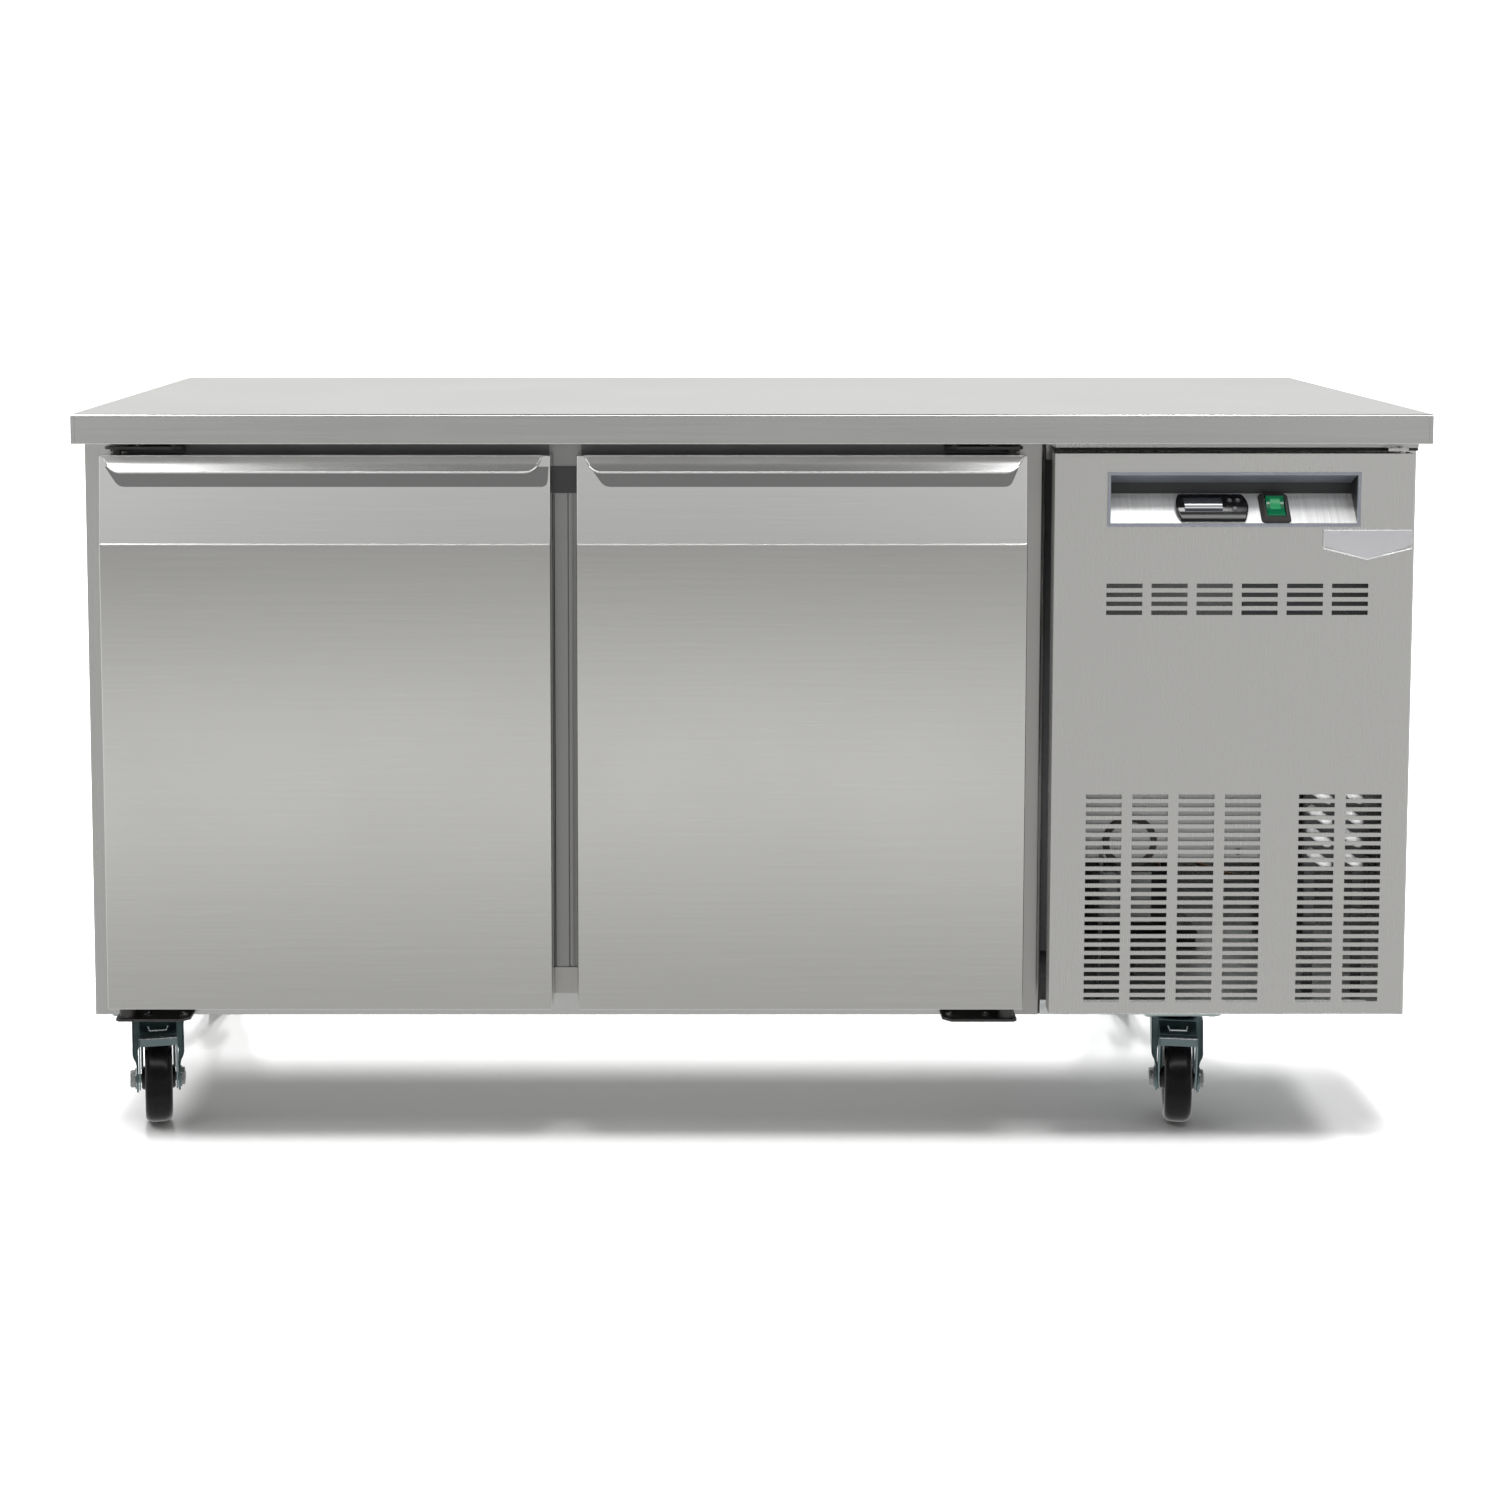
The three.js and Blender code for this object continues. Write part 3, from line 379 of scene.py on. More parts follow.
def brushed(
    name, color, roughness, grain, spread=0.05, tint=0.06, bump=0.1, aniso=0.5, edge=1.0, metallic=1.0
):
    """Brushed metal: fine lines along the grain, with faint smears and scratches."""
    paint = Paint(name, color, roughness, metallic, Anisotropic=aniso)
    paint.shader.inputs["Specular Tint"].default_value = (edge, edge, edge, 1)

    def along(long, cross):
        return [long if way in grain else cross for way in "xyz"]

    fine = paint.noise(1.0, 3.0, 0.6, along(9.0, 1500.0))
    broad = paint.noise(1.0, 2.0, 0.5, along(2.5, 230.0))
    smear = paint.noise(5.0, 3.0, 0.55)
    lines = paint.math("ADD", paint.math("MULTIPLY", fine, 0.6), paint.math("MULTIPLY", broad, 0.4))
    scratch = paint.range(paint.noise(1.0, 1.0, 0.4, along(22.0, 900.0)), 0.0, 1.0, 0.70, 0.76)
    marked = paint.math("ADD", lines, paint.math("MULTIPLY", scratch, 0.25))
    paint.tint(marked, 1.0 - tint * 1.6, 1.0 + tint)
    mixed = paint.math("ADD", paint.math("MULTIPLY", lines, 0.5), paint.math("MULTIPLY", smear, 0.5))
    paint.rough(mixed, roughness - spread, roughness + spread)
    paint.bump(lines, bump, 0.06)
    paint.grain_tangent(tuple(1.0 if way == grain[-1] else 0.0 for way in "xyz"))
    return paint.material


def moulded(name, color, roughness, grain_size=900.0, bump=0.12, tint=0.12, **sockets):
    """Moulded plastic or rubber: a fine eggshell texture with uneven gloss."""
    paint = Paint(name, color, roughness, 0.0, **sockets)
    shell = paint.noise(grain_size, 2.0, 0.5)
    patch = paint.noise(14.0, 3.0, 0.6)
    paint.tint(patch, 1.0 - tint, 1.0 + tint)
    paint.rough(patch, max(0.03, roughness - 0.07), roughness + 0.07)
    paint.bump(shell, bump, 0.05)
    return paint.material


def plated(name, color, roughness, tint=0.1, spread=0.1, bump=0.1, metallic=1.0):
    """Zinc or nickel plating: cloudy, slightly uneven and smooth."""
    paint = Paint(name, color, roughness, metallic)
    cloud = paint.noise(60.0, 4.0, 0.6)
    paint.tint(cloud, 1.0 - tint, 1.0 + tint)
    paint.rough(cloud, roughness - spread, roughness + spread)
    paint.bump(paint.noise(700.0, 2.0, 0.5), bump, 0.04)
    return paint.material


def galvanised(name, color, roughness):
    """Galvanised sheet: flat spangles of slightly different tone."""
    paint = Paint(name, color, roughness, 0.6)
    spangle = paint.cells(90.0)
    pick = paint.node("ShaderNodeSeparateColor")
    paint.wire(spangle.outputs["Color"], pick.inputs[0])
    paint.tint(pick.outputs[0], 0.88, 1.08)
    paint.rough(pick.outputs[1], roughness - 0.07, roughness + 0.1)
    paint.bump(paint.noise(300.0, 2.0, 0.5), 0.08, 0.04)
    return paint.material


def painted(name, color, roughness):
    """Powder coat: orange peel with a few worn, shinier patches."""
    paint = Paint(name, color, roughness, 0.0, Coat_Weight=0.15, Coat_Roughness=0.25)
    peel = paint.noise(420.0, 2.0, 0.5)
    wear = paint.noise(22.0, 4.0, 0.65)
    paint.tint(wear, 0.8, 1.35)
    paint.rough(wear, roughness + 0.1, roughness - 0.1)
    paint.bump(peel, 0.25, 0.08)
    return paint.material


STEEL = (0.700, 0.695, 0.680)
DOOR_STEEL = brushed("door_steel", STEEL, 0.21, "x", aniso=0.7)
PULL_STEEL = brushed("pull_steel", (0.72, 0.72, 0.715), 0.2, "x")
TOP_STEEL = brushed("worktop_steel", (0.74, 0.74, 0.735), 0.24, "x", bump=0.06, edge=0.75)
PANEL_STEEL = brushed("panel_steel", (0.69, 0.685, 0.675), 0.27, "z", tint=0.012, bump=0.02)
FRAME_STEEL = brushed("frame_steel", (0.50, 0.495, 0.485), 0.3, "z")
# painted shade: a darker copy of the cabinet steel, for the shade between and above the doors
SHADED_POST_STEEL = brushed("post_steel_painted_shade", (0.37, 0.37, 0.367), 0.3, "z")
SIDE_STEEL = brushed("side_steel", (0.62, 0.62, 0.61), 0.28, "z", bump=0.06)
CASING_STEEL = brushed("casing_steel", (0.76, 0.76, 0.75), 0.28, "z", bump=0.06)
LINER_STEEL = brushed("liner_steel", (0.70, 0.70, 0.69), 0.3, "y", bump=0.05)
SLOPE_STEEL = brushed(
    "slope_steel", (0.80, 0.80, 0.80), 0.36, "yz", tint=0.3, bump=0.3, aniso=0.2, metallic=0.6
)
SHADE_STEEL = brushed("shaded_steel", (0.27, 0.27, 0.272), 0.25, "x", bump=0.04)
# painted shade: the electrical box's light grey enamel, darkened for the shade it stands in behind the
# louvres
CASE_SHADED_GREY = moulded("case_enamel_painted_shade", (0.21, 0.215, 0.21), 0.45, bump=0.06, tint=0.05)
BADGE_METAL = brushed("badge_metal", (0.76, 0.76, 0.79), 0.25, "x", tint=0.03, metallic=0.85)
WIRE_METAL = plated("shelf_wire_metal", (0.66, 0.67, 0.68), 0.22)
ZINC = plated("caster_zinc", (0.15, 0.21, 0.22), 0.33, tint=0.3)
PLATE_ZINC = plated("plate_zinc", (0.50, 0.56, 0.57), 0.3)
# painted highlight: pale zinc on rims and edges, for their highlight lines
ZINC_PAINTED_HIGHLIGHT = plated("zinc_edge_painted_highlight", (0.85, 0.87, 0.87), 0.3, metallic=0.6)
BOLT = plated("bolt_metal", (0.25, 0.26, 0.265), 0.28)
PEDAL_ZINC = plated("pedal_zinc", (0.20, 0.26, 0.27), 0.3)
BOARD = moulded("worktop_board", (0.33, 0.326, 0.318), 0.6, bump=0.2)
CAP_PLASTIC = moulded("cap_plastic", (0.085, 0.087, 0.087), 0.5)
BAFFLE = moulded("baffle_enamel", (0.10, 0.10, 0.10), 0.5)
GALVANISED = galvanised("galvanised_sheet", (0.60, 0.62, 0.62), 0.38)
ALUMINIUM = plated("aluminium_fins", (0.80, 0.81, 0.82), 0.3, metallic=0.8)
# painted highlight: near-white, mostly diffuse paint so the tubes and bends read as lit glints
BEND_PAINTED_GLINT = plated("return_bend_painted_glint", (0.90, 0.90, 0.90), 0.32, metallic=0.15)
COPPER = plated("copper_pipe", (0.50, 0.27, 0.18), 0.3)
BLACK_STEEL = painted("black_powder_coat", (0.022, 0.021, 0.020), 0.42)
BLACK_ENAMEL = painted("compressor_enamel", (0.015, 0.015, 0.016), 0.3)
GLOSS_BLACK = moulded("gloss_black_plastic", (0.004, 0.004, 0.005), 0.11, bump=0.02, Specular_IOR_Level=0.35)
DARK_PLASTIC = moulded("dark_plastic", (0.050, 0.051, 0.053), 0.5)
GREY_PLASTIC = moulded("grey_plastic", (0.15, 0.155, 0.155), 0.55)
TRIM = moulded("recess_trim_plastic", (0.17, 0.18, 0.205), 0.42, bump=0.08)
ROOF = moulded("recess_roof_plastic", (0.10, 0.108, 0.125), 0.35, bump=0.08)
RECESS_DARK = moulded("recess_back_plastic", (0.014, 0.015, 0.017), 0.45)
RUBBER = moulded("black_rubber", (0.022, 0.020, 0.019), 0.6, bump=0.3)
GASKET = moulded("gasket_rubber", (0.07, 0.07, 0.072), 0.6, bump=0.25)
TYRE = moulded("tyre_rubber", (0.006, 0.006, 0.007), 0.24, bump=0.06, Specular_IOR_Level=0.13)
WHEEL_CORE = moulded("wheel_core_plastic", (0.012, 0.012, 0.013), 0.3, Specular_IOR_Level=0.3)
LINER_WHITE = moulded("liner_plastic", (0.62, 0.63, 0.62), 0.4, bump=0.06, tint=0.03)
BUTTON = moulded("button_plastic", (0.05, 0.05, 0.055), 0.35)
GLYPH = moulded("glyph_ink", (0.30, 0.30, 0.31), 0.5)
WINDOW = moulded(
    "display_window", (0.03, 0.033, 0.042), 0.12, bump=0.02, Coat_Weight=1.0, Coat_Roughness=0.06
)
GREEN = moulded(
    "green_lens", (0.0, 0.09, 0.035), 0.12, bump=0.02, Emission_Color=(0.0, 0.5, 0.2, 1),
    Emission_Strength=0.05,
)
GREEN_GLOW = moulded(
    "green_lamp", (0.0, 0.16, 0.05), 0.2, bump=0.02, Specular_IOR_Level=0.25,
    Emission_Color=(0.0, 0.9, 0.3, 1), Emission_Strength=0.10,
)
RED_LAMP = moulded(
    "red_lamp", (0.7, 0.2, 0.23), 0.3, bump=0.02, Emission_Color=(1.0, 0.35, 0.38, 1),
    Emission_Strength=0.35,
)


def repaint(node, paint, bevel=0.0, segments=2, smooth=32):
    """A CAD node whose shape is right keeps its mesh, and gets a finer finish."""
    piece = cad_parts[node]
    for slot in piece.material_slots:
        slot.material = paint
    finish_edges(piece, bevel, segments, smooth)
    flat_faces(piece)
    return piece


def box_mm(node):
    low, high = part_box(node)
    return [(low[i] / MM, high[i] / MM) for i in range(3)]


# ---------------------------------------------------------------- small fasteners
def screw_head(solid, axis, at, r=4.0, h=1.6, way=-1):
    """A pan head with a cross slot's dark centre left as a dimple. at is its seat, way its side."""
    order = {"x": (0, 1, 2), "y": (1, 0, 2), "z": (2, 0, 1)}[axis]
    seat = at[order[0]]
    centre = (at[order[1]], at[order[2]])
    top = seat + way * h
    profile = [
        (0.0, seat), (r, seat), (r, seat + way * h * 0.35), (r * 0.72, top), (r * 0.34, top),
        (r * 0.2, seat + way * h * 0.45), (0.0, seat + way * h * 0.4),
    ]
    solid.turn(profile, axis, centre, 14)


# ---------------------------------------------------------------- cabinet
def make_worktop():
    top = Solid()
    lip = 0.25
    section = (
        arc(WORKTOP_FRONT + lip + 2.6, WORKTOP_TOP - 2.6, 2.6, 180, 90, 5)
        + arc(350 - lip - 0.8, WORKTOP_TOP - 0.8, 0.8, 90, 0, 3)
        + [(350 - lip, WORKTOP_UNDER), (WORKTOP_FRONT + lip, WORKTOP_UNDER)]
    )
    top.prism(section, "x", -750, 750)
    for face in top.bm.faces:
        if face.calc_center_median().z < WORKTOP_UNDER + 0.1:
            face.material_index = 1
    top.done("worktop_sheet", "cabinet", (TOP_STEEL, BOARD), ("worktop",), 1.6, 3)
    seams = Solid()
    for x in (-745.6, 745.2):
        seams.box(x, x + 0.5, WORKTOP_FRONT + 0.05, WORKTOP_FRONT + 1.5, WORKTOP_UNDER + 1, 822.4)
        seams.box(x, x + 0.5, 348.5, 349.95, WORKTOP_UNDER + 1, 822.4)
    seams.done("worktop_seams", "cabinet", FRAME_STEEL)


def make_cabinet():
    repaint("left_side_panel", SIDE_STEEL, 1.2)
    repaint("rear_panel", SIDE_STEEL, 0.8)
    repaint("floor_panel", LINER_STEEL, 0.8)
    repaint("ceiling_panel", SHADED_POST_STEEL, 0.8)
    repaint("bay_base", GALVANISED, 0.5)
    repaint("bay_casing", CASING_STEEL, 0.5)
    repaint("cable_gland", DARK_PLASTIC, 0.5)
    repaint("mullion_cap_upper", CAP_PLASTIC, 0.5)
    repaint("mullion_cap_lower", FRAME_STEEL, 0.5)
    for side in ("left", "right"):
        for level in ("upper", "lower"):
            repaint(f"{side}_hinge_{level}", BLACK_STEEL, 0.5)


def make_divider():
    """The wall beside the bay shows as a stile with a rolled edge, with a dark duct behind it."""
    (x0, x1), (y0, y1), (z0, z1) = box_mm("bay_divider")
    r = 5.0
    plan = [(x0, y0)] + arc(x1 - r, y0 + r, r, 270, 360, 8) + [(x1, y1), (x0, y1)]
    wall = Solid()
    wall.prism(plan, "z", z0, z1)
    wall.done("divider_wall", "cabinet", FRAME_STEEL, ("bay_divider",), smooth=30)
    duct = Solid()
    duct.prism(rounded(x1 + 0.2, x1 + 12.5, y0 + 24, y0 + 30, 1.0, 2), "z", 200, 781)
    duct.done("bay_edge_duct", "cabinet", DARK_PLASTIC)


def make_mullion():
    """The post between the doors, with shallow ribs on the strip that the doors leave open. Its steel is
    painted darker for the shade between the doors.
    """
    x0, x1 = MULLION_X - 30, MULLION_X + 30
    outline = [(x0, FRONT + 40), (x0, FRONT), (-221.5, FRONT), (-220.5, FRONT - 0.9)]
    outline += [(-214, FRONT - 1.2), (-206, FRONT - 0.9), (-204.5, FRONT - 0.2), (-201.5, FRONT - 0.4)]
    outline += [(-200.0, FRONT - 1.0), (-196, FRONT), (x1, FRONT), (x1, FRONT + 40)]
    post = Solid()
    post.prism(outline, "z", 182.3, 741.7)
    post.done("mullion_post", "cabinet", SHADED_POST_STEEL, ("mullion",), smooth=20)
    # painted shade: a dark strip beside the left door's right edge
    slot = Solid()
    slot.box(-225.5, -222.2, FRONT - 0.25, FRONT + 0.5, 189, 731)
    slot.done("mullion_shadow_strip", "cabinet", DARK_PLASTIC, bevel=0.1)
    # painted shade: dark grey strips above each door, where the gap over the doors lies in shade
    head_shade = Solid()
    for left, right in ((-700.0, -226.0), (-190.0, 299.0)):
        head_shade.box(left, right, FRONT - 1.0, FRONT - 0.02, 774.5, 791.6)
    head_shade.done("door_head_shade_strips", "cabinet", GREY_PLASTIC, bevel=0.2)


def make_bay_head():
    """The steel rail that shows above the service panel, over a black strip painted as the shadow in the
    gap.
    """
    rail = Solid()
    rail.box(338, 742, -322, -292, 785.6, 791.6)
    rail.done("bay_head_rail", "cabinet", SIDE_STEEL, bevel=0.6)
    shadow_gap_strip = Solid()
    # painted shadow: black rubber where the gap over the service panel lies in shade
    shadow_gap_strip.box(338, 742, -319, -300, 782.0, 785.6)
    shadow_gap_strip.done("bay_head_shadow_strip", "cabinet", RUBBER, bevel=0.3)


def make_baffle():
    """A sheet behind the upper louvres, fixed to the service panel."""
    sheet = Solid()
    for paint, x0, x1, back in ((0, 386, 548, -310.6), (1, 548, 702, -304.6)):
        sheet.paint = paint
        sheet.box(x0, x1, back - BAFFLE_SHEET, back, 590, 652)
        sheet.box(x0, x1, -318.6, back, 652 - BAFFLE_SHEET, 652)
    sheet.done("louvre_baffle", "service_door", (BAFFLE, DARK_PLASTIC), bevel=0.3)


def make_fasteners():
    heads = Solid()
    for x0, x1, count in ((-690, 276, 9), (345, 735, 4)):
        for i in range(count):
            x = x0 + 14 + (x1 - x0 - 28) * i / (count - 1)
            for z in (146.0, 778.0):
                screw_head(heads, "y", (x, REAR, z), way=1)
    for z in (290, 430, 570, 690):
        for x in (-684, 270, 345, 740):
            screw_head(heads, "y", (x, REAR, z), way=1)
    heads.done("rear_screws", "cabinet", BOLT)
    hinge = Solid()
    for x0, way in DOORS.values():
        outer = x0 + (4 if way < 0 else DOOR_WIDTH - 4)
        for step in (34, 74):
            screw_head(hinge, "z", (outer - way * step, -306, 137.0), 5.2, 2.2, 1)
            screw_head(hinge, "z", (outer - way * step, -306, 787.0), 4.6, 1.8, 1)
    hinge.done("hinge_screws", "cabinet", BOLT)


# ---------------------------------------------------------------- cold room
def make_shelf(name, x0, x1):
    low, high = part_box(name)
    y0, y1 = low.y / MM, high.y / MM
    z = high.z / MM
    shelf = Solid()
    r = 3.0
    inset = 3.2
    corner = 12.0
    ring = rounded(x0 + inset, x1 - inset, y0 + inset, y1 - inset, corner, 5)
    shelf.tube([(x, y, z - 3.2) for x, y in ring], r, 8, ring=True)
    for y in (y0 + (y1 - y0) / 3, y0 + (y1 - y0) * 2 / 3):
        shelf.tube([(x0 + 4, y, z - 4.6), (x1 - 4, y, z - 4.6)], 2.3, 8)
    count = int((x1 - x0 - 20) / 15)
    for i in range(count + 1):
        x = x0 + 12 + (x1 - x0 - 24) * i / count
        shelf.tube([(x, y0 + 2.5, z - 1.6), (x, y1 - 2.5, z - 1.6)], 1.5, 6)
    shelf.done(f"{name}_wires", "cabinet", WIRE_METAL, (name,), smooth=60)


def make_cold_room():
    make_shelf("shelf_left", -693.0, -213.0)
    make_shelf("shelf_right", -203.0, 277.0)
    for rail in ("shelf_rail_left", "shelf_rail_right", "shelf_centre_support"):
        repaint(rail, LINER_STEEL, 0.4)
    # coved floor corners and slotted shelf posts
    cove = Solid()
    r = 14.0
    for x, way in ((ROOM["x0"], 1), (ROOM["x1"], -1)):
        curve = [(x, ROOM["z0"]), (x + way * r, ROOM["z0"])]
        a0, a1 = (270, 180) if way > 0 else (270, 360)
        curve += arc(x + way * r, ROOM["z0"] + r, r, a0, a1, 6)
        cove.prism(curve, "y", ROOM["y0"] + 3, ROOM["y1"] - 1)
    back = ROOM["y1"]
    curve = [(back, ROOM["z0"]), (back - r, ROOM["z0"])] + arc(back - r, ROOM["z0"] + r, r, 270, 360, 6)
    cove.prism(curve, "x", ROOM["x0"] + 1, ROOM["x1"] - 1)
    cove.done("floor_coves", "cabinet", LINER_STEEL, smooth=40)
    posts = Solid()
    for y in (-200, 230):
        for x, way in ((ROOM["x0"], 1), (ROOM["x1"], -1)):
            top = 735.0 if way > 0 else 480.0
            a, b = sorted((x + way * 0.3, x + way * 2.6))
            z = 200.0
            while z < top - 24:
                posts.box(a, b, y - 9, y - 3, z, z + 24)
                posts.box(a, b, y + 3, y + 9, z, z + 24)
                posts.box(a, b, y - 9, y + 9, z, z + 12)
                z += 24
    posts.done("shelf_posts", "cabinet", LINER_STEEL)


def fan_blades(name, node, body, paint, blades, hub_r, tip_r, x, y, z, twist):
    """A fan about the X axis with curved, pitched blades."""
    fan = Solid()
    fan.turn(
        [
            (5.2, x - 9), (hub_r - 3, x - 9), (hub_r, x - 6), (hub_r, x + 7), (hub_r - 2, x + 8.6),
            (5.2, x + 8.6),
        ],
        "x",
        (y, z),
        32,
        closed=True,
    )
    for b in range(blades):
        start = 2 * PI * b / blades
        rows = []
        steps = 7
        for i in range(steps + 1):
            r = hub_r - 1.5 + (tip_r - hub_r + 1.0) * i / steps
            sweep = 0.45 * (i / steps) ** 1.3
            wide = (0.50 + 0.18 * math.sin(PI * i / steps)) * (1 - 0.25 * (i / steps) ** 4)
            pitch = twist * (1 - 0.35 * i / steps)
            loop = []
            for t, thick in ((-1, 0.0), (-0.4, 0.9), (0.4, 0.9), (1, 0.0), (0.4, -0.7), (-0.4, -0.7)):
                a = start + sweep + t * wide
                loop.append(
                    (x + t * pitch + thick - 1.2 * (1 - t * t), y + r * math.cos(a), z + r * math.sin(a))
                )
            rows.append(loop)
        fan.loft(rows)
    fan.done(name, body, paint, (node,), smooth=40)


def make_evaporator():
    repaint("evaporator_cover", LINER_STEEL, 0.6)
    (x0, _), (y0, y1), (z0, z1) = box_mm("evaporator_cover")
    fx, fy, fz = 193.0, 30.0, 612.0
    guard = Solid()
    for r in (14, 26, 38, 50, 62, 74, 86):
        ring = [(x0 - 3.2, fy + a, fz + b) for a, b in arc(0, 0, r, 0, 350, 35)]
        guard.tube(ring, 1.1 if r < 86 else 1.6, 6, ring=True)
    for k in range(4):
        a = PI / 4 + k * PI / 2
        c, s = math.cos(a), math.sin(a)
        guard.tube([(x0 - 1.6, fy + 12 * c, fz + 12 * s), (x0 - 1.6, fy + 92 * c, fz + 92 * s)], 1.5, 6)
    for y in (y0 + 14, y1 - 14):
        for z in (z0 + 14, z1 - 14):
            screw_head(guard, "x", (x0, y, z), 4, 1.6, -1)
    guard.done("evaporator_fan_guard", "cabinet", WIRE_METAL, smooth=60)
    coil = Solid()
    y = y0 + 14
    while y < y1 - 14:
        coil.box(242, 274, y, y + 0.7, z0 + 21, z1 - 21)
        y += 5.0
    for i in range(8):
        z = z0 + 36 + i * 26
        for x in (250, 266):
            coil.tube([(x, y0 + 10, z), (x, y1 - 10, z)], 4.2, 8)
    coil.turn([(0, 205), (20, 205), (29, 210), (30, 216), (30, 243), (0, 243)], "x", (fy, fz), 28)
    coil.rod("x", (fy, fz), 4.0, 185, 207, 12)
    for way in (-1, 1):
        coil.box(228, 232, fy - 3, fy + 3, fz + min(way * 28, way * 110), fz + max(way * 28, way * 110))
        coil.box(228, 244, fy - 6, fy + 6, fz + way * 106 - 2, fz + way * 106 + 2)
    coil.done("evaporator_fins", "cabinet", ALUMINIUM, ("evaporator_coil",), smooth=40)
    fan_blades(
        "evaporator_blades", "evaporator_fan", "evaporator_fan", DARK_PLASTIC, 5, 20, 74, fx, fy,
        fz, 7.0,
    )


# ---------------------------------------------------------------- doors
# where the lip's shadow is painted on the band, as a dark sheet's corners: (X from the door's left edge, Z),
# bottom corners first
LIP_SHADOW_CORNERS = {
    "left": ((22.0, 743.6), (496.4, 743.6), (498.0, 766.0), (7.0, 766.0)),
    "right": ((31.0, 743.6), (480.6, 743.6), (490.0, 766.0), (15.0, 766.0)),
}


def make_door(side, x0, way):
    x1 = x0 + DOOR_WIDTH
    body = f"{side}_door"
    skin = f"{side}_door_skin"
    # lower face: a folded pan with rolled uprights
    r = 2.6
    pan = arc(x0 + r, FACE + r, r, 180, 270, 5) + arc(x1 - r, FACE + r, r, 270, 360, 5)
    face = Solid()
    face.prism(pan + [(x1, DOOR_BACK), (x0, DOOR_BACK)], "z", DOOR_BOTTOM, BAND_BOTTOM)
    face.drop_faces(lambda c, f: c.y > DOOR_BACK - 0.01)
    face.done(f"{side}_door_face", body, DOOR_STEEL, (skin,), 0.7, 3, sheet=1.3)
    # the band leans back above it
    low, high, top = FACE + 1.5, FACE + 8.5, DOOR_TOP - 0.2
    band = Solid()
    loops = []
    for y, z in ((low, BAND_BOTTOM + 0.2), (high, top)):
        edge = arc(x0 + 1.8, y + 1.6, 1.6, 180, 270, 4) + arc(x1 - 1.8, y + 1.6, 1.6, 270, 360, 4)
        edge += [(x1 - 0.2, DOOR_BACK), (x0 + 0.2, DOOR_BACK)]
        loops.append([(u, v, z) for u, v in edge])
    band.loft(loops)
    band.drop_faces(lambda c, f: c.y > DOOR_BACK - 0.01 or c.z < BAND_BOTTOM + 0.3)
    band.done(f"{side}_door_band", body, PULL_STEEL, (), 0.5, 3, sheet=1.2)
    # a rolled fold where the two meet
    fold = Solid()
    fold.rod("x", (FACE + 1.15, BAND_BOTTOM - 0.1), 1.1, x0 + 1.2, x1 - 1.2, 16)
    fold.done(f"{side}_door_fold", body, PULL_STEEL, (), smooth=40)
    # painted shadow: a dark steel sheet on the band below the lip, where the lip's shadow falls
    shadow_sheet = Solid()
    slant = (high - low) / (top - BAND_BOTTOM)
    outline = soften([(x0 + u, z) for u, z in LIP_SHADOW_CORNERS[side]], 7.0, (0, 1))
    loops = []
    for out in (0.35, -0.4):
        loops.append([(u, low + (z - BAND_BOTTOM) * slant - out, z) for u, z in outline])
    shadow_sheet.loft(loops)
    shadow_sheet.done(f"{side}_painted_lip_shadow", body, SHADE_STEEL)
    make_pull(side, x0, x1, way, body)
    make_gasket(side, body)
    repaint(f"{side}_door_core", LINER_WHITE, 0.9)


def make_pull(side, x0, x1, way, body):
    """The lip that folds forward and down from the door's top edge."""
    reach, drop, thick = 13.5, 16.5, 2.3
    length = math.hypot(reach, drop)
    fold = (4, 9) if way < 0 else (9, 4)
    tip = (17, 19) if way < 0 else (19, 17)
    r = 8.5
    plan = [(x0 + fold[0], 0.0), (x1 - fold[1], 0.0)]
    lean_right = (tip[1] - fold[1]) / length
    lean_left = (tip[0] - fold[0]) / length
    right = x1 - fold[1] - lean_right * (length - r)
    left = x0 + fold[0] + lean_left * (length - r)
    steps = 6
    for i in range(steps + 1):
        a = math.radians(90 * i / steps)
        plan.append(
            (right - r * (1 - math.cos(a)) - lean_right * r * math.sin(a), length - r + r * math.sin(a))
        )
    for i in range(steps + 1):
        a = math.radians(90 - 90 * i / steps)
        plan.append(
            (left + r * (1 - math.cos(a)) + lean_left * r * math.sin(a), length - r + r * math.sin(a))
        )
    down = Vector((0, -reach / length, -drop / length))
    under = Vector((1, 0, 0)).cross(down)
    start = Vector((0, FACE + 8.0, DOOR_TOP))
    lip = Solid()
    loops = []
    for depth in (0.0, thick):
        loops.append([Vector((x, 0, 0)) + start + down * v + under * depth for x, v in plan])
    lip.loft(loops)
    lip.done(f"{side}_door_pull", body, PULL_STEEL, (), 0.7, 3)
    rim = Solid()
    rim.tube(
        [Vector((x, 0, 0)) + start + down * v + under * thick / 2 for x, v in plan], 1.3, 10, ring=True
    )
    rim.done(f"{side}_door_pull_rim", body, PULL_STEEL, (), smooth=60)


def make_gasket(side, body):
    (x0, x1), _, (z0, z1) = box_mm(f"{side}_door_gasket")
    profile = [
        (0.4, -297.6), (0.0, -296.4), (1.4, -295.2), (0.5, -294.0), (1.2, -292.8), (0.2, -291.6),
        (1.2, -290.4), (5.0, -290.32), (7.0, -290.9), (9.0, -290.32), (12.8, -290.4),
        (13.8, -291.6), (12.8, -292.8), (13.5, -294.0), (12.6, -295.2), (14.0, -296.4),
        (13.6, -297.6),
    ]
    gasket = Solid()
    gasket.frame(x0, x1, z0, z1, profile)
    gasket.done(
        f"{side}_gasket_profile", body, GASKET, (f"{side}_door_gasket",), smooth=50
    )


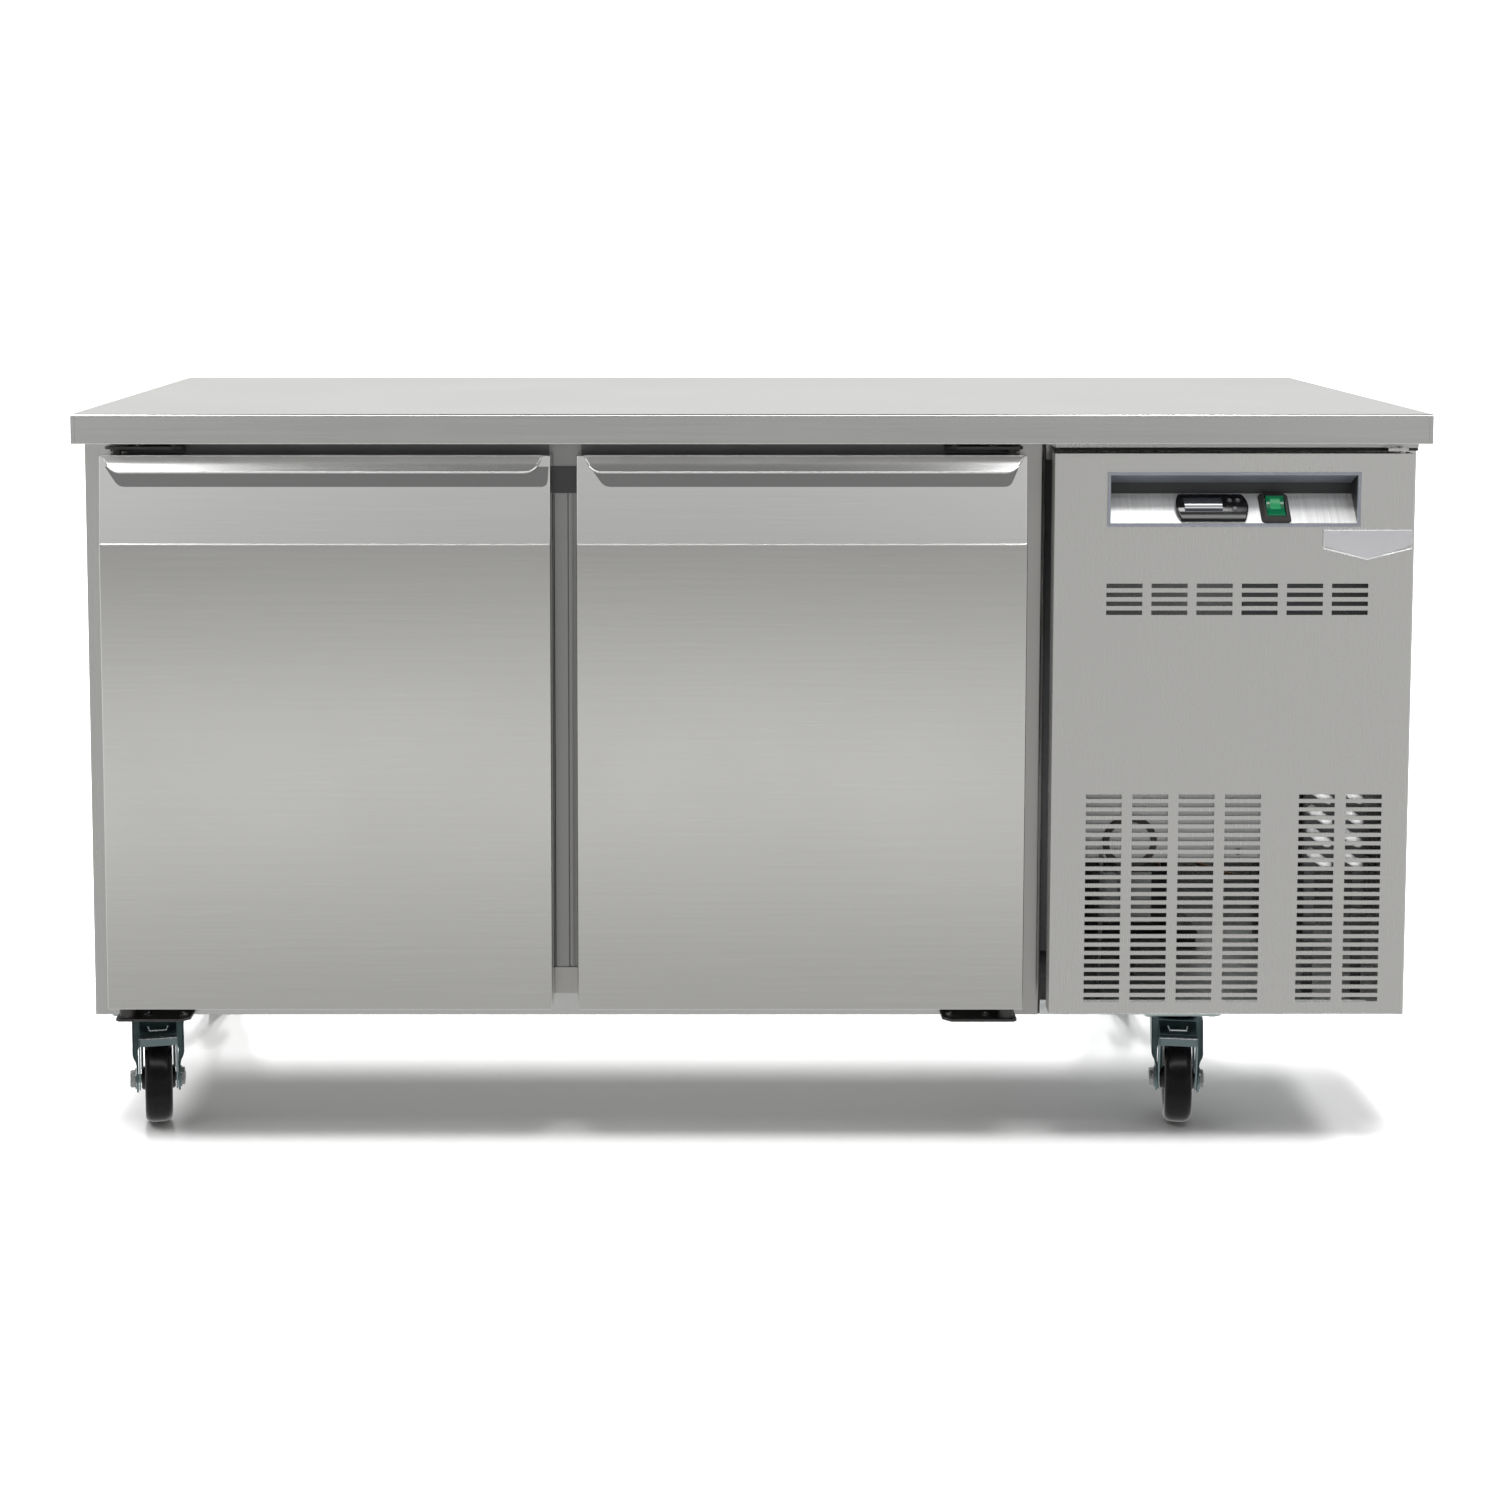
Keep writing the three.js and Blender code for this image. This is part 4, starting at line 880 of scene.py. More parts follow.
# ---------------------------------------------------------------- compressor bay
def make_compressor():
    x, y, base = 462.0, 40.0, 135.3
    shell = Solid()
    profile = [
        (0, base + 14), (60, base + 14), (76, base + 20), (83, base + 32), (85.5, base + 60),
        (85.5, base + 96), (88, base + 98), (88, base + 104), (85.5, base + 106),
        (85.5, base + 132), (83, base + 152), (75, base + 174), (60, base + 190), (36, base + 198),
        (0, base + 200.5),
    ]
    shell.turn(profile, "z", (x, y), 48)
    shell.prism(rounded(x - 105, x + 105, y - 70, y + 70, 16), "z", base + 12.5, base + 16.5)
    shell.tube([(x + 40, y - 74, base + 120), (x + 40, y - 100, base + 120)], 5.5, 12)
    shell.done("compressor_shell", "cabinet", BLACK_ENAMEL, ("compressor",), smooth=40)
    feet = Solid()
    for dx in (-90, 90):
        for dy in (-55, 55):
            foot = [
                (0, base), (12.5, base), (13, base + 4), (10, base + 8), (13, base + 12),
                (13, base + 19), (8, base + 21), (0, base + 21.5),
            ]
            feet.turn(foot, "z", (x + dx, y + dy), 20)
    feet.done("compressor_feet", "cabinet", RUBBER, smooth=40)
    repaint("compressor_terminal_box", GREY_PLASTIC, 3.0, 3)


def make_pipes():
    pipes = Solid()
    x, y = 462.0, 40.0

    def bend(points, r):
        """Rounds the corners of a path."""
        path = [Vector(points[0])]
        for a, b, c in zip(points, points[1:], points[2:]):
            a, b, c = Vector(a), Vector(b), Vector(c)
            inward = (a - b).normalized()
            outward = (c - b).normalized()
            cut = min(16.0, (a - b).length / 2.2, (c - b).length / 2.2)
            for i in range(7):
                t = i / 6
                path.append(
                    (b + inward * cut) * (1 - t) ** 2 + b * 2 * t * (1 - t) + (b + outward * cut) * t**2
                )
        path.append(Vector(points[-1]))
        pipes.tube(path, r, 10)

    bend([(x + 40, y - 98, 255), (x + 40, y - 130, 255), (x + 40, y - 130, 290), (600, -90, 290)], 4.0)
    suction = [(x + 60, y + 66, 250), (x + 100, y + 100, 250), (640, y + 100, 250), (660, 60, 300)]
    bend([*suction, (660, 40, 330)], 3.2)
    bend([(x - 50, y + 74, 240), (x - 50, y + 160, 240), (x - 50, y + 160, 520), (354, y + 160, 560)], 4.6)
    liquid = [(700, 36, 310), (700, 90, 310), (700, 90, 190), (640, 120, 190), (600, 200, 190)]
    bend([*liquid, (600, 220, 300)], 2.6)
    pipes.turn([(0, 300), (4, 300), (11, 312), (11, 372), (4, 384), (0, 384)], "z", (600, 220), 20)
    bend([(600, 220, 384), (600, 220, 430), (480, 240, 470), (354, 240, 540)], 2.0)
    pipes.done("copper_pipes", "cabinet", COPPER, smooth=50)


def make_condenser():
    (x0, x1), (y0, y1), _ = box_mm("condenser")
    z0, z1 = 288.0, 566.0
    coil = Solid()
    # painted shade: the end plates take the dark paint
    coil.paint = 1
    for y in (y0, y1 - 1.5):
        coil.box(x0, x1, y, y + 1.5, z0, z1)
        for x in (x0, x1 - 12):
            coil.box(x, x + 12, y, y + 1.5, 135.6, z0 + 2)
    coil.paint = 0
    y = y0 + 5
    while y < y1 - 4:
        coil.box(x0 + 3, x1 - 3, y, y + 0.6, z0 + 3, z1 - 3)
        y += 3.6
    coil.done("condenser_fins", "cabinet", (ALUMINIUM, DARK_PLASTIC), ("condenser",))
    tubes = Solid()
    rows, pitch = 10, 25.4
    columns = [x0 + 7 + 18 * c for c in range(4)]
    places = {}
    for c, x in enumerate(columns):
        for r in range(rows + 1):
            z = z0 + 20 + (r - 0.5 * (c % 2)) * pitch
            if z < z1 - 8:
                places[c, r] = (x, z)
                tubes.tube([(x, y0 + 2, z), (x, y1 - 2, z)], 4.6, 8)

    def hairpin(a, b, face, way):
        """A half turn of tube between two holes in an end plate."""
        mid = ((a[0] + b[0]) / 2, (a[1] + b[1]) / 2)
        half = math.hypot(b[0] - a[0], b[1] - a[1]) / 2
        ux, uz = (b[0] - a[0]) / 2 / half, (b[1] - a[1]) / 2 / half
        path = []
        for i in range(9):
            t = PI * i / 8
            path.append(
                (
                    mid[0] - ux * half * math.cos(t), face + way * (3 + half * math.sin(t) * 0.85),
                    mid[1] - uz * half * math.cos(t),
                )
            )
        path = [(a[0], face, a[1])] + path + [(b[0], face, b[1])]
        tubes.tube(path, 5.8, 8)

    for r in range(rows + 1):
        for c, face, way in ((0, y0, -1), (1, y1, 1), (2, y0, -1)):
            a, b = places.get((c, r)), places.get((c + 1, r))
            if a and b:
                hairpin(a, b, face, way)
    tubes.done("condenser_tubes", "cabinet", BEND_PAINTED_GLINT, smooth=50)
    repaint("condenser_fan_mount", BLACK_STEEL, 0.5)
    fan_blades(
        "condenser_blades", "condenser_fan", "condenser_fan", ALUMINIUM, 5, 22, 113, 622.0, -103.0,
        427.0, 9.0,
    )


def make_electrical_box():
    (x0, x1), (y0, y1), (z0, z1) = (345, 572), (-262, -182), (303, 560)
    case = Solid()
    case.box(x0, x1, y0, y1, z0, z1)
    case.box(x1 - 1, x1 + 16, y0, y0 + 1.4, z0, z1)
    case.done("electrical_case", "cabinet", CASE_SHADED_GREY, ("electrical_box",), 1.5, 3)
    ring = Solid()
    ring.turn(
        [(24, y0 + 1), (24, y0 - 3.2), (27, y0 - 4.4), (30, y0 - 3.6), (31.5, y0 - 1), (31.5, y0 + 1)],
        "y", (437, 326), 40, closed=True,
    )
    ring.done("electrical_grommet", "cabinet", RUBBER, smooth=40)
    trim = Solid()
    for x in (x0 + 10, x1 - 10):
        for z in (z0 + 12, z1 - 12):
            screw_head(trim, "y", (x, y0, z), 4, 1.8, -1)
    trim.done("electrical_screws", "cabinet", BOLT)
    conduit = Solid()
    conduit.tube(
        [(404, y0 - 4, 316), (404, y0 - 5, 290), (404, y0 - 3, 240), (404, y0 + 2, 190), (404, y0 + 8, 140)],
        2.6,
        8,
    )
    conduit.tube([(426, y0 + 6, 300), (427, y0 + 6, 270), (440, y0 + 20, 210), (452, y0 + 60, 150)], 2.2, 8)
    conduit.done("bay_conduits", "cabinet", DARK_PLASTIC, smooth=60)


# ---------------------------------------------------------------- service panel
def on_slope():
    """From the slope's own axes, X across, -Y out of it and Z up it, to the cabinet's, in millimetres."""
    return Matrix.Translation((0, SLOPE_MID[0], SLOPE_MID[1])) @ Matrix.Rotation(-SLOPE_ANGLE, 4, "X")


def make_service_panel():
    repaint("service_panel", PANEL_STEEL)
    repaint("control_trim", TRIM, 0.45)
    repaint("badge", BADGE_METAL, 0.7, 3)
    (x0, x1), _, _ = box_mm("control_tray")
    slope = Solid()
    slope.box(x0 + 0.2, x1 - 0.2, 0.0, 1.3, -20.0, 22.2)
    slope.done(
        "control_slope", "service_door", SLOPE_STEEL, ("control_tray",), 0.3,
        matrix=on_slope(),
    )
    a, b = x0 + 0.1, x1 - 0.1
    visor = Solid()
    visor.prism([(-313.2, 746.0), (-311.6, 747.8), (-340.6, 758.6), (-340.6, 757.0)], "x", a, b)
    visor.done("control_visor", "service_door", ROOF, bevel=0.25)
    hood = Solid()
    hood.prism([(-313.0, 733.6), (-311.6, 733.0), (-311.6, 747.4), (-313.0, 746.4)], "x", a, b)
    side = [(-340.5, 703.5), (-311.6, 733.4), (-311.6, 747.6), (-340.5, 758.4)]
    hood.prism(side, "x", a, a + 1.4)
    hood.prism(side, "x", b - 1.4, b)
    hood.done("control_hood", "service_door", RECESS_DARK, bevel=0.25)


def make_badge_rim():
    # painted highlight: a pale rim round the badge, for its edge highlight
    rim = Solid()
    (x0, x1), (y0, _), (z0, z1) = box_mm("badge")
    y = y0 + 0.7
    point = z0 + 13.0
    a, b, top = x0 + 0.8, x1 - 0.8, z1 - 0.8
    path = [(a, top), (b, top), (b, point), ((x0 + x1) / 2, z0 + 0.9), (a, point)]
    rim.tube([(x, y, z) for x, z in path], 0.8, 10, ring=True)
    rim.done("badge_rim", "service_door", ZINC_PAINTED_HIGHLIGHT, smooth=60)


def make_controller():
    cx, half_w, half_h = 511.0, 35.5, 18.3
    shell = Solid()
    rows = []
    count = 14
    for i in range(count + 1):
        v = -1 + 2 * i / count
        bulge = 4.6 * (1 - v * v)
        left, right = cx - half_w - bulge, cx + half_w + bulge
        y = -3.6 - 3.4 * (1 - v * v)
        z = v * half_h
        rows.append(
            [
                (left, -0.3, z), (left, y + 0.9, z), (left + 1.4, y, z), (right - 1.4, y, z),
                (right, y + 0.9, z), (right, -0.3, z),
            ]
        )
    shell.loft(rows)
    shell.box(cx - 35, cx + 35, -1, 38, -14, 14)
    shell.done(
        "controller_shell", "service_door", GLOSS_BLACK, ("controller",), 0.5, 3,
        matrix=on_slope(),
    )
    window = Solid()
    rows = []
    for i in range(13):
        v = -0.56 + 1.12 * i / 12
        y = -6.2 - 2.6 * (1 - (v / 0.56) ** 2) - 0.10 * v * half_h
        section = ((cx - 31, -3.4), (cx - 31, y), (cx + 11, y), (cx + 11, -3.4))
        rows.append([(a, b, v * half_h) for a, b in section])
    window.loft(rows)
    window.done("controller_window", "service_door", WINDOW, bevel=0.2, matrix=on_slope())
    # button faces: up, down and power, with small cast glyphs
    lamps = Solid()
    places = ((20, 7), (29, 7), (24.5, -5))
    for i, (bx, bz) in enumerate(places, 1):
        cap = Solid()
        profile = [(0, -5.0), (2.9, -5.0), (2.9, -7.2), (2.4, -7.7), (0, -7.78)]
        cap.turn(profile, "y", (cx + bx, bz), 24)
        cap.done(
            f"controller_button_{i}_cap", f"button_{i}", BUTTON,
            (f"controller_button_{i}",), smooth=40, matrix=on_slope(),
        )
        glyph = Solid()
        x = cx + bx
        if i < 3:
            s = 1 if i == 1 else -1
            arrow = [(x - 1.2, bz - s * 0.8), (x + 1.2, bz - s * 0.8), (x, bz + s * 1.2)]
            glyph.prism(arrow, "y", -7.92, -7.6)
        else:
            circle = [(0.9, -7.6), (0.9, -7.92), (1.35, -7.92), (1.35, -7.6)]
            glyph.turn(circle, "y", (x, bz), 20, closed=True)
        glyph.done(
            f"controller_glyph_{i}", f"button_{i}", GLYPH, smooth=40, matrix=on_slope()
        )
    dome = [(0, -5.4), (1.3, -5.4), (1.3, -6.5), (0.7, -6.9), (0, -7.0)]
    lamps.turn(dome, "y", (cx + 16.5, -1.5), 16)
    lamps.done("controller_lamps", "service_door", RED_LAMP, matrix=on_slope())


def make_switch():
    cx = 581.0
    boot = Solid()
    outer = []
    for y, w, h, r in (
        (-0.3, 16.5, 19.8, 4.0), (-2.2, 16.2, 19.6, 4.0), (-4.6, 14.4, 18.2, 4.0),
        (-6.6, 13.4, 17.2, 3.6), (-7.0, 12.8, 16.6, 3.4), (-6.6, 11.2, 15.2, 2.4),
        (2.0, 10.7, 14.8, 2.0),
    ):
        outer.append([(x, y, z) for x, z in rounded(cx - w, cx + w, -h, h, r, 4)])
    boot.loft(outer, caps=False)
    floor = [(x, 6.0, z) for x, z in rounded(cx - 10.7, cx + 10.7, -14.8, 14.8, 2.0, 4)]
    back = [(x, 24.0, z) for x, z in rounded(cx - 11.8, cx + 11.8, -15.8, 15.8, 2.0, 4)]
    seat = [(x, -0.3, z) for x, z in rounded(cx - 11.8, cx + 11.8, -15.8, 15.8, 2.0, 4)]
    boot.loft([outer[-1], floor], caps=False)
    boot.loft([seat, back], caps=False)
    boot.loft([outer[0], seat], caps=False)
    bmesh.ops.remove_doubles(boot.bm, verts=boot.bm.verts, dist=1e-4)
    bmesh.ops.holes_fill(boot.bm, edges=[e for e in boot.bm.edges if e.is_boundary], sides=0)
    boot.done(
        "switch_boot", "service_door", RUBBER, ("switch_bezel",), smooth=40,
        matrix=on_slope(),
    )
    tilt = (
        on_slope()
        @ Matrix.Translation((0, 3, 0))
        @ Matrix.Rotation(math.radians(8), 4, "X")
        @ Matrix.Translation((0, -3, 0))
    )
    rocker = Solid()
    section = [(4, -6), (4, 6), (-5, 12.9), (-8.4, 12.9), (-9.0, 12.3)]
    section += [(-6.2 - 2.8 * (t / 6) ** 2, t * 12.3 / 6) for t in range(5, -6, -1)]
    section += [(-9.0, -12.3), (-8.4, -12.9), (-5, -12.9)]
    rocker.prism(section, "x", cx - 9.9, cx + 9.9)
    rocker.done("switch_lens", "rocker", GREEN, ("switch_rocker",), 0.5, 3, matrix=tilt)
    lamp = Solid()
    lamp.prism(
        [(-6.75, -3.6), (-6.6, 0), (-6.95, 5.5), (-8.0, 9.6), (-7.0, 9.6), (-5.5, 0), (-5.9, -3.6)],
        "x", cx - 5.6, cx + 5.6,
    )
    lamp.done("switch_lamp", "rocker", GREEN_GLOW, bevel=0.3, matrix=tilt)


# ---------------------------------------------------------------- casters
def mirrored(side):
    """A wheel's whole profile from one side of it, as radii and places along the axle."""
    return side + [(r, -along) for r, along in reversed(side)]


def below_crown(z):
    """How far down a fork leg a height lies: 0 at the crown and 1 at the axle."""
    return (FORK_TOP - z) / (FORK_TOP - AXLE_Z)


def leg_out(z):
    """Half the fork's width at a height: it narrows smoothly above the wheel's axle."""
    t = min(1.0, max(0.0, (80 - z) / 12))
    return FORK_HALF_WIDTH - FORK_NARROWING * (3 * t * t - 2 * t**3)


def front_edge(z):
    """Where a fork leg's leaning front edge lies in Y at a height."""
    return FORK_FRONT - FORK_LEAN * below_crown(z)


def make_caster(place, x, y):
    swivel, wheel = f"{place}_swivel", f"{place}_wheel"
    plate_at = Matrix.Translation((x, y, 0))
    here = plate_at @ Matrix.Rotation(math.radians(CASTER_TURN.get(place, 0)), 4, "Z")
    ax = (AXLE_Y, AXLE_Z)
    # top plate with its rubber pad, ball race and bolts
    plate = Solid()
    plate.prism(rounded(-44, 44, -44, 44, 6), "z", 124.7, 128.0)
    race = [(0, 117), (20, 117), (24.5, 118), (26, 119.6), (25.4, 121.6), (24.2, 122.4)]
    race += [(25.6, 123.2), (25.6, 124.9), (0, 124.9)]
    plate.turn(race, "z", (0, 0), 40)
    for bx in (-36, 36):
        for by in (-25, 25):
            plate.turn([(0, 124.8), (8, 124.8), (8, 123.6), (0, 123.6)], "z", (bx, by), 20)
            plate.turn([(0, 123.8), (6.2, 123.8), (6.2, 120.4), (5.4, 119.7), (0, 119.7)], "z", (bx, by), 6)
    stands_for = (f"{place}_caster_plate",)
    plate.done(f"{place}_caster_top", "cabinet", PLATE_ZINC, stands_for, 0.5, matrix=plate_at)
    pad = Solid()
    pad.prism(rounded(-45, 45, -45, 45, 5), "z", 128.0, 131.7)
    pad.done(f"{place}_caster_pad", "cabinet", RUBBER, bevel=0.7, matrix=plate_at)
    # fork
    fork = Solid()
    crown = [(0, 113.2), (27, 113.2), (29.3, 114.2), (29.3, 115.6), (27.5, 116.4), (0, 116.4)]
    fork.turn(crown, "z", (0, 0), 40)
    fork.prism(
        [(-26, -30), (26, -30), (29.4, -24), (29.4, 22), (25, 26), (-25, 26), (-29.4, 22), (-29.4, -24)],
        "z", 113.2, 116.35,
    )
    heights = [116.0, 112, 106, 98, 90, 84, 80, 76, 72, 68, 62, 56, 50, 46, 42, 39, 37, 35.5, 34.3]
    for sign in (-1, 1):
        rows = []
        for z in heights:
            if z >= AXLE_Z:
                t = below_crown(z)
                left = FORK_FRONT + (AXLE_Y - LEG_END_R - FORK_FRONT) * t
                curve = min(1.0, (max(0.0, t - 0.1) / 0.9) ** 0.75)
                right = FORK_BACK + (AXLE_Y + LEG_END_R - FORK_BACK) * curve
            else:
                w = math.sqrt(max(0.0, LEG_END_R**2 - (z - AXLE_Z) ** 2))
                left, right = AXLE_Y - w, AXLE_Y + w
            out = leg_out(z)
            rows.append(
                [
                    (sign * out, left, z), (sign * out, right, z),
                    (sign * (out - FORK_SHEET), right, z), (sign * (out - FORK_SHEET), left, z),
                ]
            )
        fork.loft(rows)
        rows = []
        for z in (116, 106, 98, 92, 88, 84, 80, 76, 72, 68, 64, 60):
            front = front_edge(z)
            out = leg_out(z)
            inner = min(23.0, 18.5 + max(0.0, 92 - z) * 0.8)
            rows.append([(sign * out, y, z) for y in (front, front + FORK_SHEET)])
            rows[-1] += [(sign * inner, y, z) for y in (front + FORK_SHEET, front)]
        fork.loft(rows)
        # the flange's inner strip, inside the slot for the brake arm
        rows = []
        for z in (94, 84, 74, 64):
            front = front_edge(z)
            rows.append([(sign * 19.6, y, z) for y in (front, front + FORK_SHEET)])
            rows[-1] += [(sign * 16.8, y, z) for y in (front + FORK_SHEET, front)]
        fork.loft(rows)
    nose = [(-22, 116.3), (-26, 116.1), (-40, 112.6), (-57, 107.6), (-58, 106.4)]
    nose += [(-57.6, 104.6), (-40, 109.6), (-24, 113.4), (-22, 113.4)]
    fork.prism(nose, "x", -21, 21)
    fork.prism([(-57.6, 104.6), (-58, 107.0), (-58, 97.5), (-57, 97.5)], "x", -21, 21)
    # the stamped mark is real; its pale paint is painted highlight
    fork.paint = 1
    staple = ((-11, -42), (-9.5, -50), (9.5, -50), (11, -42))
    stamp = [(u, v, 112.9 + (v + 40) * 5 / 17) for u, v in staple]
    fork.tube(stamp, 0.9, 8)
    fork.done(
        f"{place}_caster_yoke", swivel, (ZINC, ZINC_PAINTED_HIGHLIGHT),
        (f"{place}_caster_fork",), 0.45, smooth=40, matrix=here,
    )
    axle = Solid()
    axle.rod("x", ax, 5.0, -30, 30, 20)
    for a, b in ((-25.2, -26.6), (25.2, 26.6)):
        axle.rod("x", ax, 12.0, a, b, 28)
    hexagon = [(0, -26.4), (10.2, -26.4), (10.2, -31.2), (8.6, -32.3), (0, -32.3)]
    axle.turn(hexagon, "x", ax, 6)
    nut = [(0, 26.4), (10.0, 26.4), (10.0, 29.6), (8.6, 30.4), (5.0, 30.4), (5.0, 31.0), (0, 31.0)]
    axle.turn(nut, "x", ax, 6, phase=0.3)
    axle.done(f"{place}_axle", swivel, BOLT, bevel=0.3, matrix=here)
    # wheel
    tyre = Solid()
    side = [(37.0, -13.5), (41.0, -15.4), (44.6, -15.2), (47.2, -13.4), (49.0, -10.4), (49.8, -7.0)]
    tyre.turn(mirrored([*side, (50.0, -3.5)]), "x", ax, 72, closed=True)
    tyre.done(
        f"{place}_tyre", wheel, TYRE, (f"{place}_caster_wheel",), smooth=40, matrix=here
    )
    core = Solid()
    side = [(5.8, -19.2), (11.5, -19.2), (13.0, -17.8), (14.0, -11.0), (31.0, -9.5), (34.5, -12.8)]
    core.turn(mirrored([*side, (37.6, -13.3)]), "x", ax, 56, closed=True)
    for k in range(6):
        a = PI * k / 3
        c, s = math.cos(a), math.sin(a)
        rib = [(13 * c - 1.4 * s, 13 * s + 1.4 * c), (13 * c + 1.4 * s, 13 * s - 1.4 * c)]
        rib += [(33 * c + 1.4 * s, 33 * s - 1.4 * c), (33 * c - 1.4 * s, 33 * s + 1.4 * c)]
        core.prism([(ax[0] + u, ax[1] + v) for u, v in rib], "x", -11.8, 11.8)
    core.done(f"{place}_wheel_core", wheel, WHEEL_CORE, smooth=40, matrix=here)
    if place.startswith("front"):
        make_brake(place, here)


def make_brake(place, here):
    brake = Solid()
    for a, b in ((-22.0, -20.2), (20.2, 22.0)):
        arm = arc(AXLE_Y, AXLE_Z, 14, 40, -180, 14)
        arm += [(-55.5, 66), (-64, 86), (-68, 97), (-68, 105.4), (-61.5, 105.8), (-50, 92), (-36, 74)]
        brake.prism(arm, "x", a, b)
    bar = [(-68, 96.8), (-68, 105.0), (-67, 106), (-61, 106), (-61, 103.8), (-65.8, 103.8), (-65.8, 96.8)]
    brake.prism(bar, "x", -22, 22)
    for k in range(5):
        x = -16 + k * 8
        brake.box(x - 1, x + 1, -67.6, -61.4, 105.6, 106.0)
    # painted highlight: a pale rolled edge along the pedal's top
    brake.paint = 1
    brake.rod("x", (-66.9, 105.1), 0.95, -21.6, 21.6, 10)
    brake.done(
        f"{place}_brake_pedal", f"{place}_brake", (PEDAL_ZINC, ZINC_PAINTED_HIGHLIGHT),
        (f"{place}_caster_brake",), 0.35, smooth=40, matrix=here,
    )


# ---------------------------------------------------------------- stage
def make_stage():
    floor = bpy.data.meshes.new("floor")
    size = 60.0
    floor.from_pydata(
        [(-size, -size, -0.0005), (size, -size, -0.0005), (size, size, -0.0005), (-size, size, -0.0005)],
        [], [(0, 1, 2, 3)],
    )
    ground = bpy.data.objects.new("floor", floor)
    bpy.context.scene.collection.objects.link(ground)
    paint = Paint("floor_paint", (0.86, 0.86, 0.86), 0.9)
    paint.tint(paint.noise(3.0, 2.0, 0.5), 0.995, 1.005)
    paint.rough(paint.noise(8.0, 2.0, 0.5), 0.85, 0.95)
    floor.materials.append(paint.material)
    ground.visible_glossy = False


def make_world():
    world = bpy.data.worlds.new("studio")
    bpy.context.scene.world = world
    world.use_nodes = True
    tree = world.node_tree
    tree.nodes.clear()
    new, wire = tree.nodes.new, tree.links.new
    coord = new("ShaderNodeTexCoord")
    split = new("ShaderNodeSeparateXYZ")
    wire(coord.outputs["Generated"], split.inputs[0])

    def spread(axis, low, high):
        """Runs from 0 to 1 as one part of the view's direction goes from low to high."""
        node = new("ShaderNodeMapRange")
        node.inputs["From Min"].default_value = low
        node.inputs["From Max"].default_value = high
        wire(split.outputs[axis], node.inputs["Value"])
        return node.outputs["Result"]

    def ramp(factor, stops, blue):
        node = new("ShaderNodeValToRGB")
        wire(factor, node.inputs["Fac"])
        elements = node.color_ramp.elements
        for element, (place, v) in zip(elements, (stops[0], stops[-1])):
            element.position = place
            element.color = (v, v, v * blue, 1)
        for place, v in stops[1:-1]:
            elements.new(place).color = (v, v, v * blue, 1)
        return node.outputs["Color"]

    def by_height(sky):
        stops = [(0.5 + 0.5 * math.sin(math.radians(e)), v) for e, v in sky]
        return ramp(spread("Z", -1.0, 1.0), stops, SKY_BLUE)

    def mixed(factor):
        node = new("ShaderNodeMix")
        node.data_type = "RGBA"
        wire(factor, node.inputs["Factor"])
        return node

    front = by_height(FRONT_SKY)
    back = by_height(BACK_SKY)
    across = ramp(spread("X", -0.5, 0.5), [(x + 0.5, v / SKY_GAIN) for x, v in ACROSS], 1.0)
    fall = mixed(spread("Z", -0.13, -0.07))
    fall.inputs["A"].default_value = (1 / SKY_GAIN, 1 / SKY_GAIN, 1 / SKY_GAIN, 1)
    wire(across, fall.inputs["B"])
    shaped = new("ShaderNodeVectorMath")
    shaped.operation = "MULTIPLY"
    wire(front, shaped.inputs[0])
    wire(fall.outputs["Result"], shaped.inputs[1])
    lifted = new("ShaderNodeVectorMath")
    lifted.operation = "SCALE"
    lifted.inputs["Scale"].default_value = SKY_GAIN
    wire(shaped.outputs[0], lifted.inputs[0])
    mix = mixed(spread("Y", -0.25, 0.25))
    wire(lifted.outputs[0], mix.inputs["A"])
    wire(back, mix.inputs["B"])
    background = new("ShaderNodeBackground")
    out = new("ShaderNodeOutputWorld")
    wire(mix.outputs["Result"], background.inputs["Color"])
    wire(background.outputs[0], out.inputs["Surface"])


def aimed(name, data, place, aim):
    """A light at a place, pointed at another, both in metres."""
    light = bpy.data.objects.new(name, data)
    bpy.context.scene.collection.objects.link(light)
    light.location = place
    light.rotation_euler = (Vector(aim) - Vector(place)).to_track_quat("-Z", "Y").to_euler()
    return light


def soft_box(name, place, aim, width, height, power):
    data = bpy.data.lights.new(name, "AREA")
    data.shape = "RECTANGLE"
    data.size, data.size_y = width, height
    data.energy = power
    return aimed(name, data, place, aim)


def sun(name, azimuth, elevation, strength, spread):
    """Parallel light for the floor. Azimuth 0 comes from the front, and 180 from behind."""
    data = bpy.data.lights.new(name, "SUN")
    data.energy = strength
    data.angle = math.radians(spread)
    light = bpy.data.objects.new(name, data)
    bpy.context.scene.collection.objects.link(light)
    a, e = math.radians(azimuth), math.radians(elevation)
    way = Vector((math.sin(a) * math.cos(e), -math.cos(a) * math.cos(e), math.sin(e)))
    light.rotation_euler = way.to_track_quat("Z", "Y").to_euler()
    light.visible_glossy = False
    return light


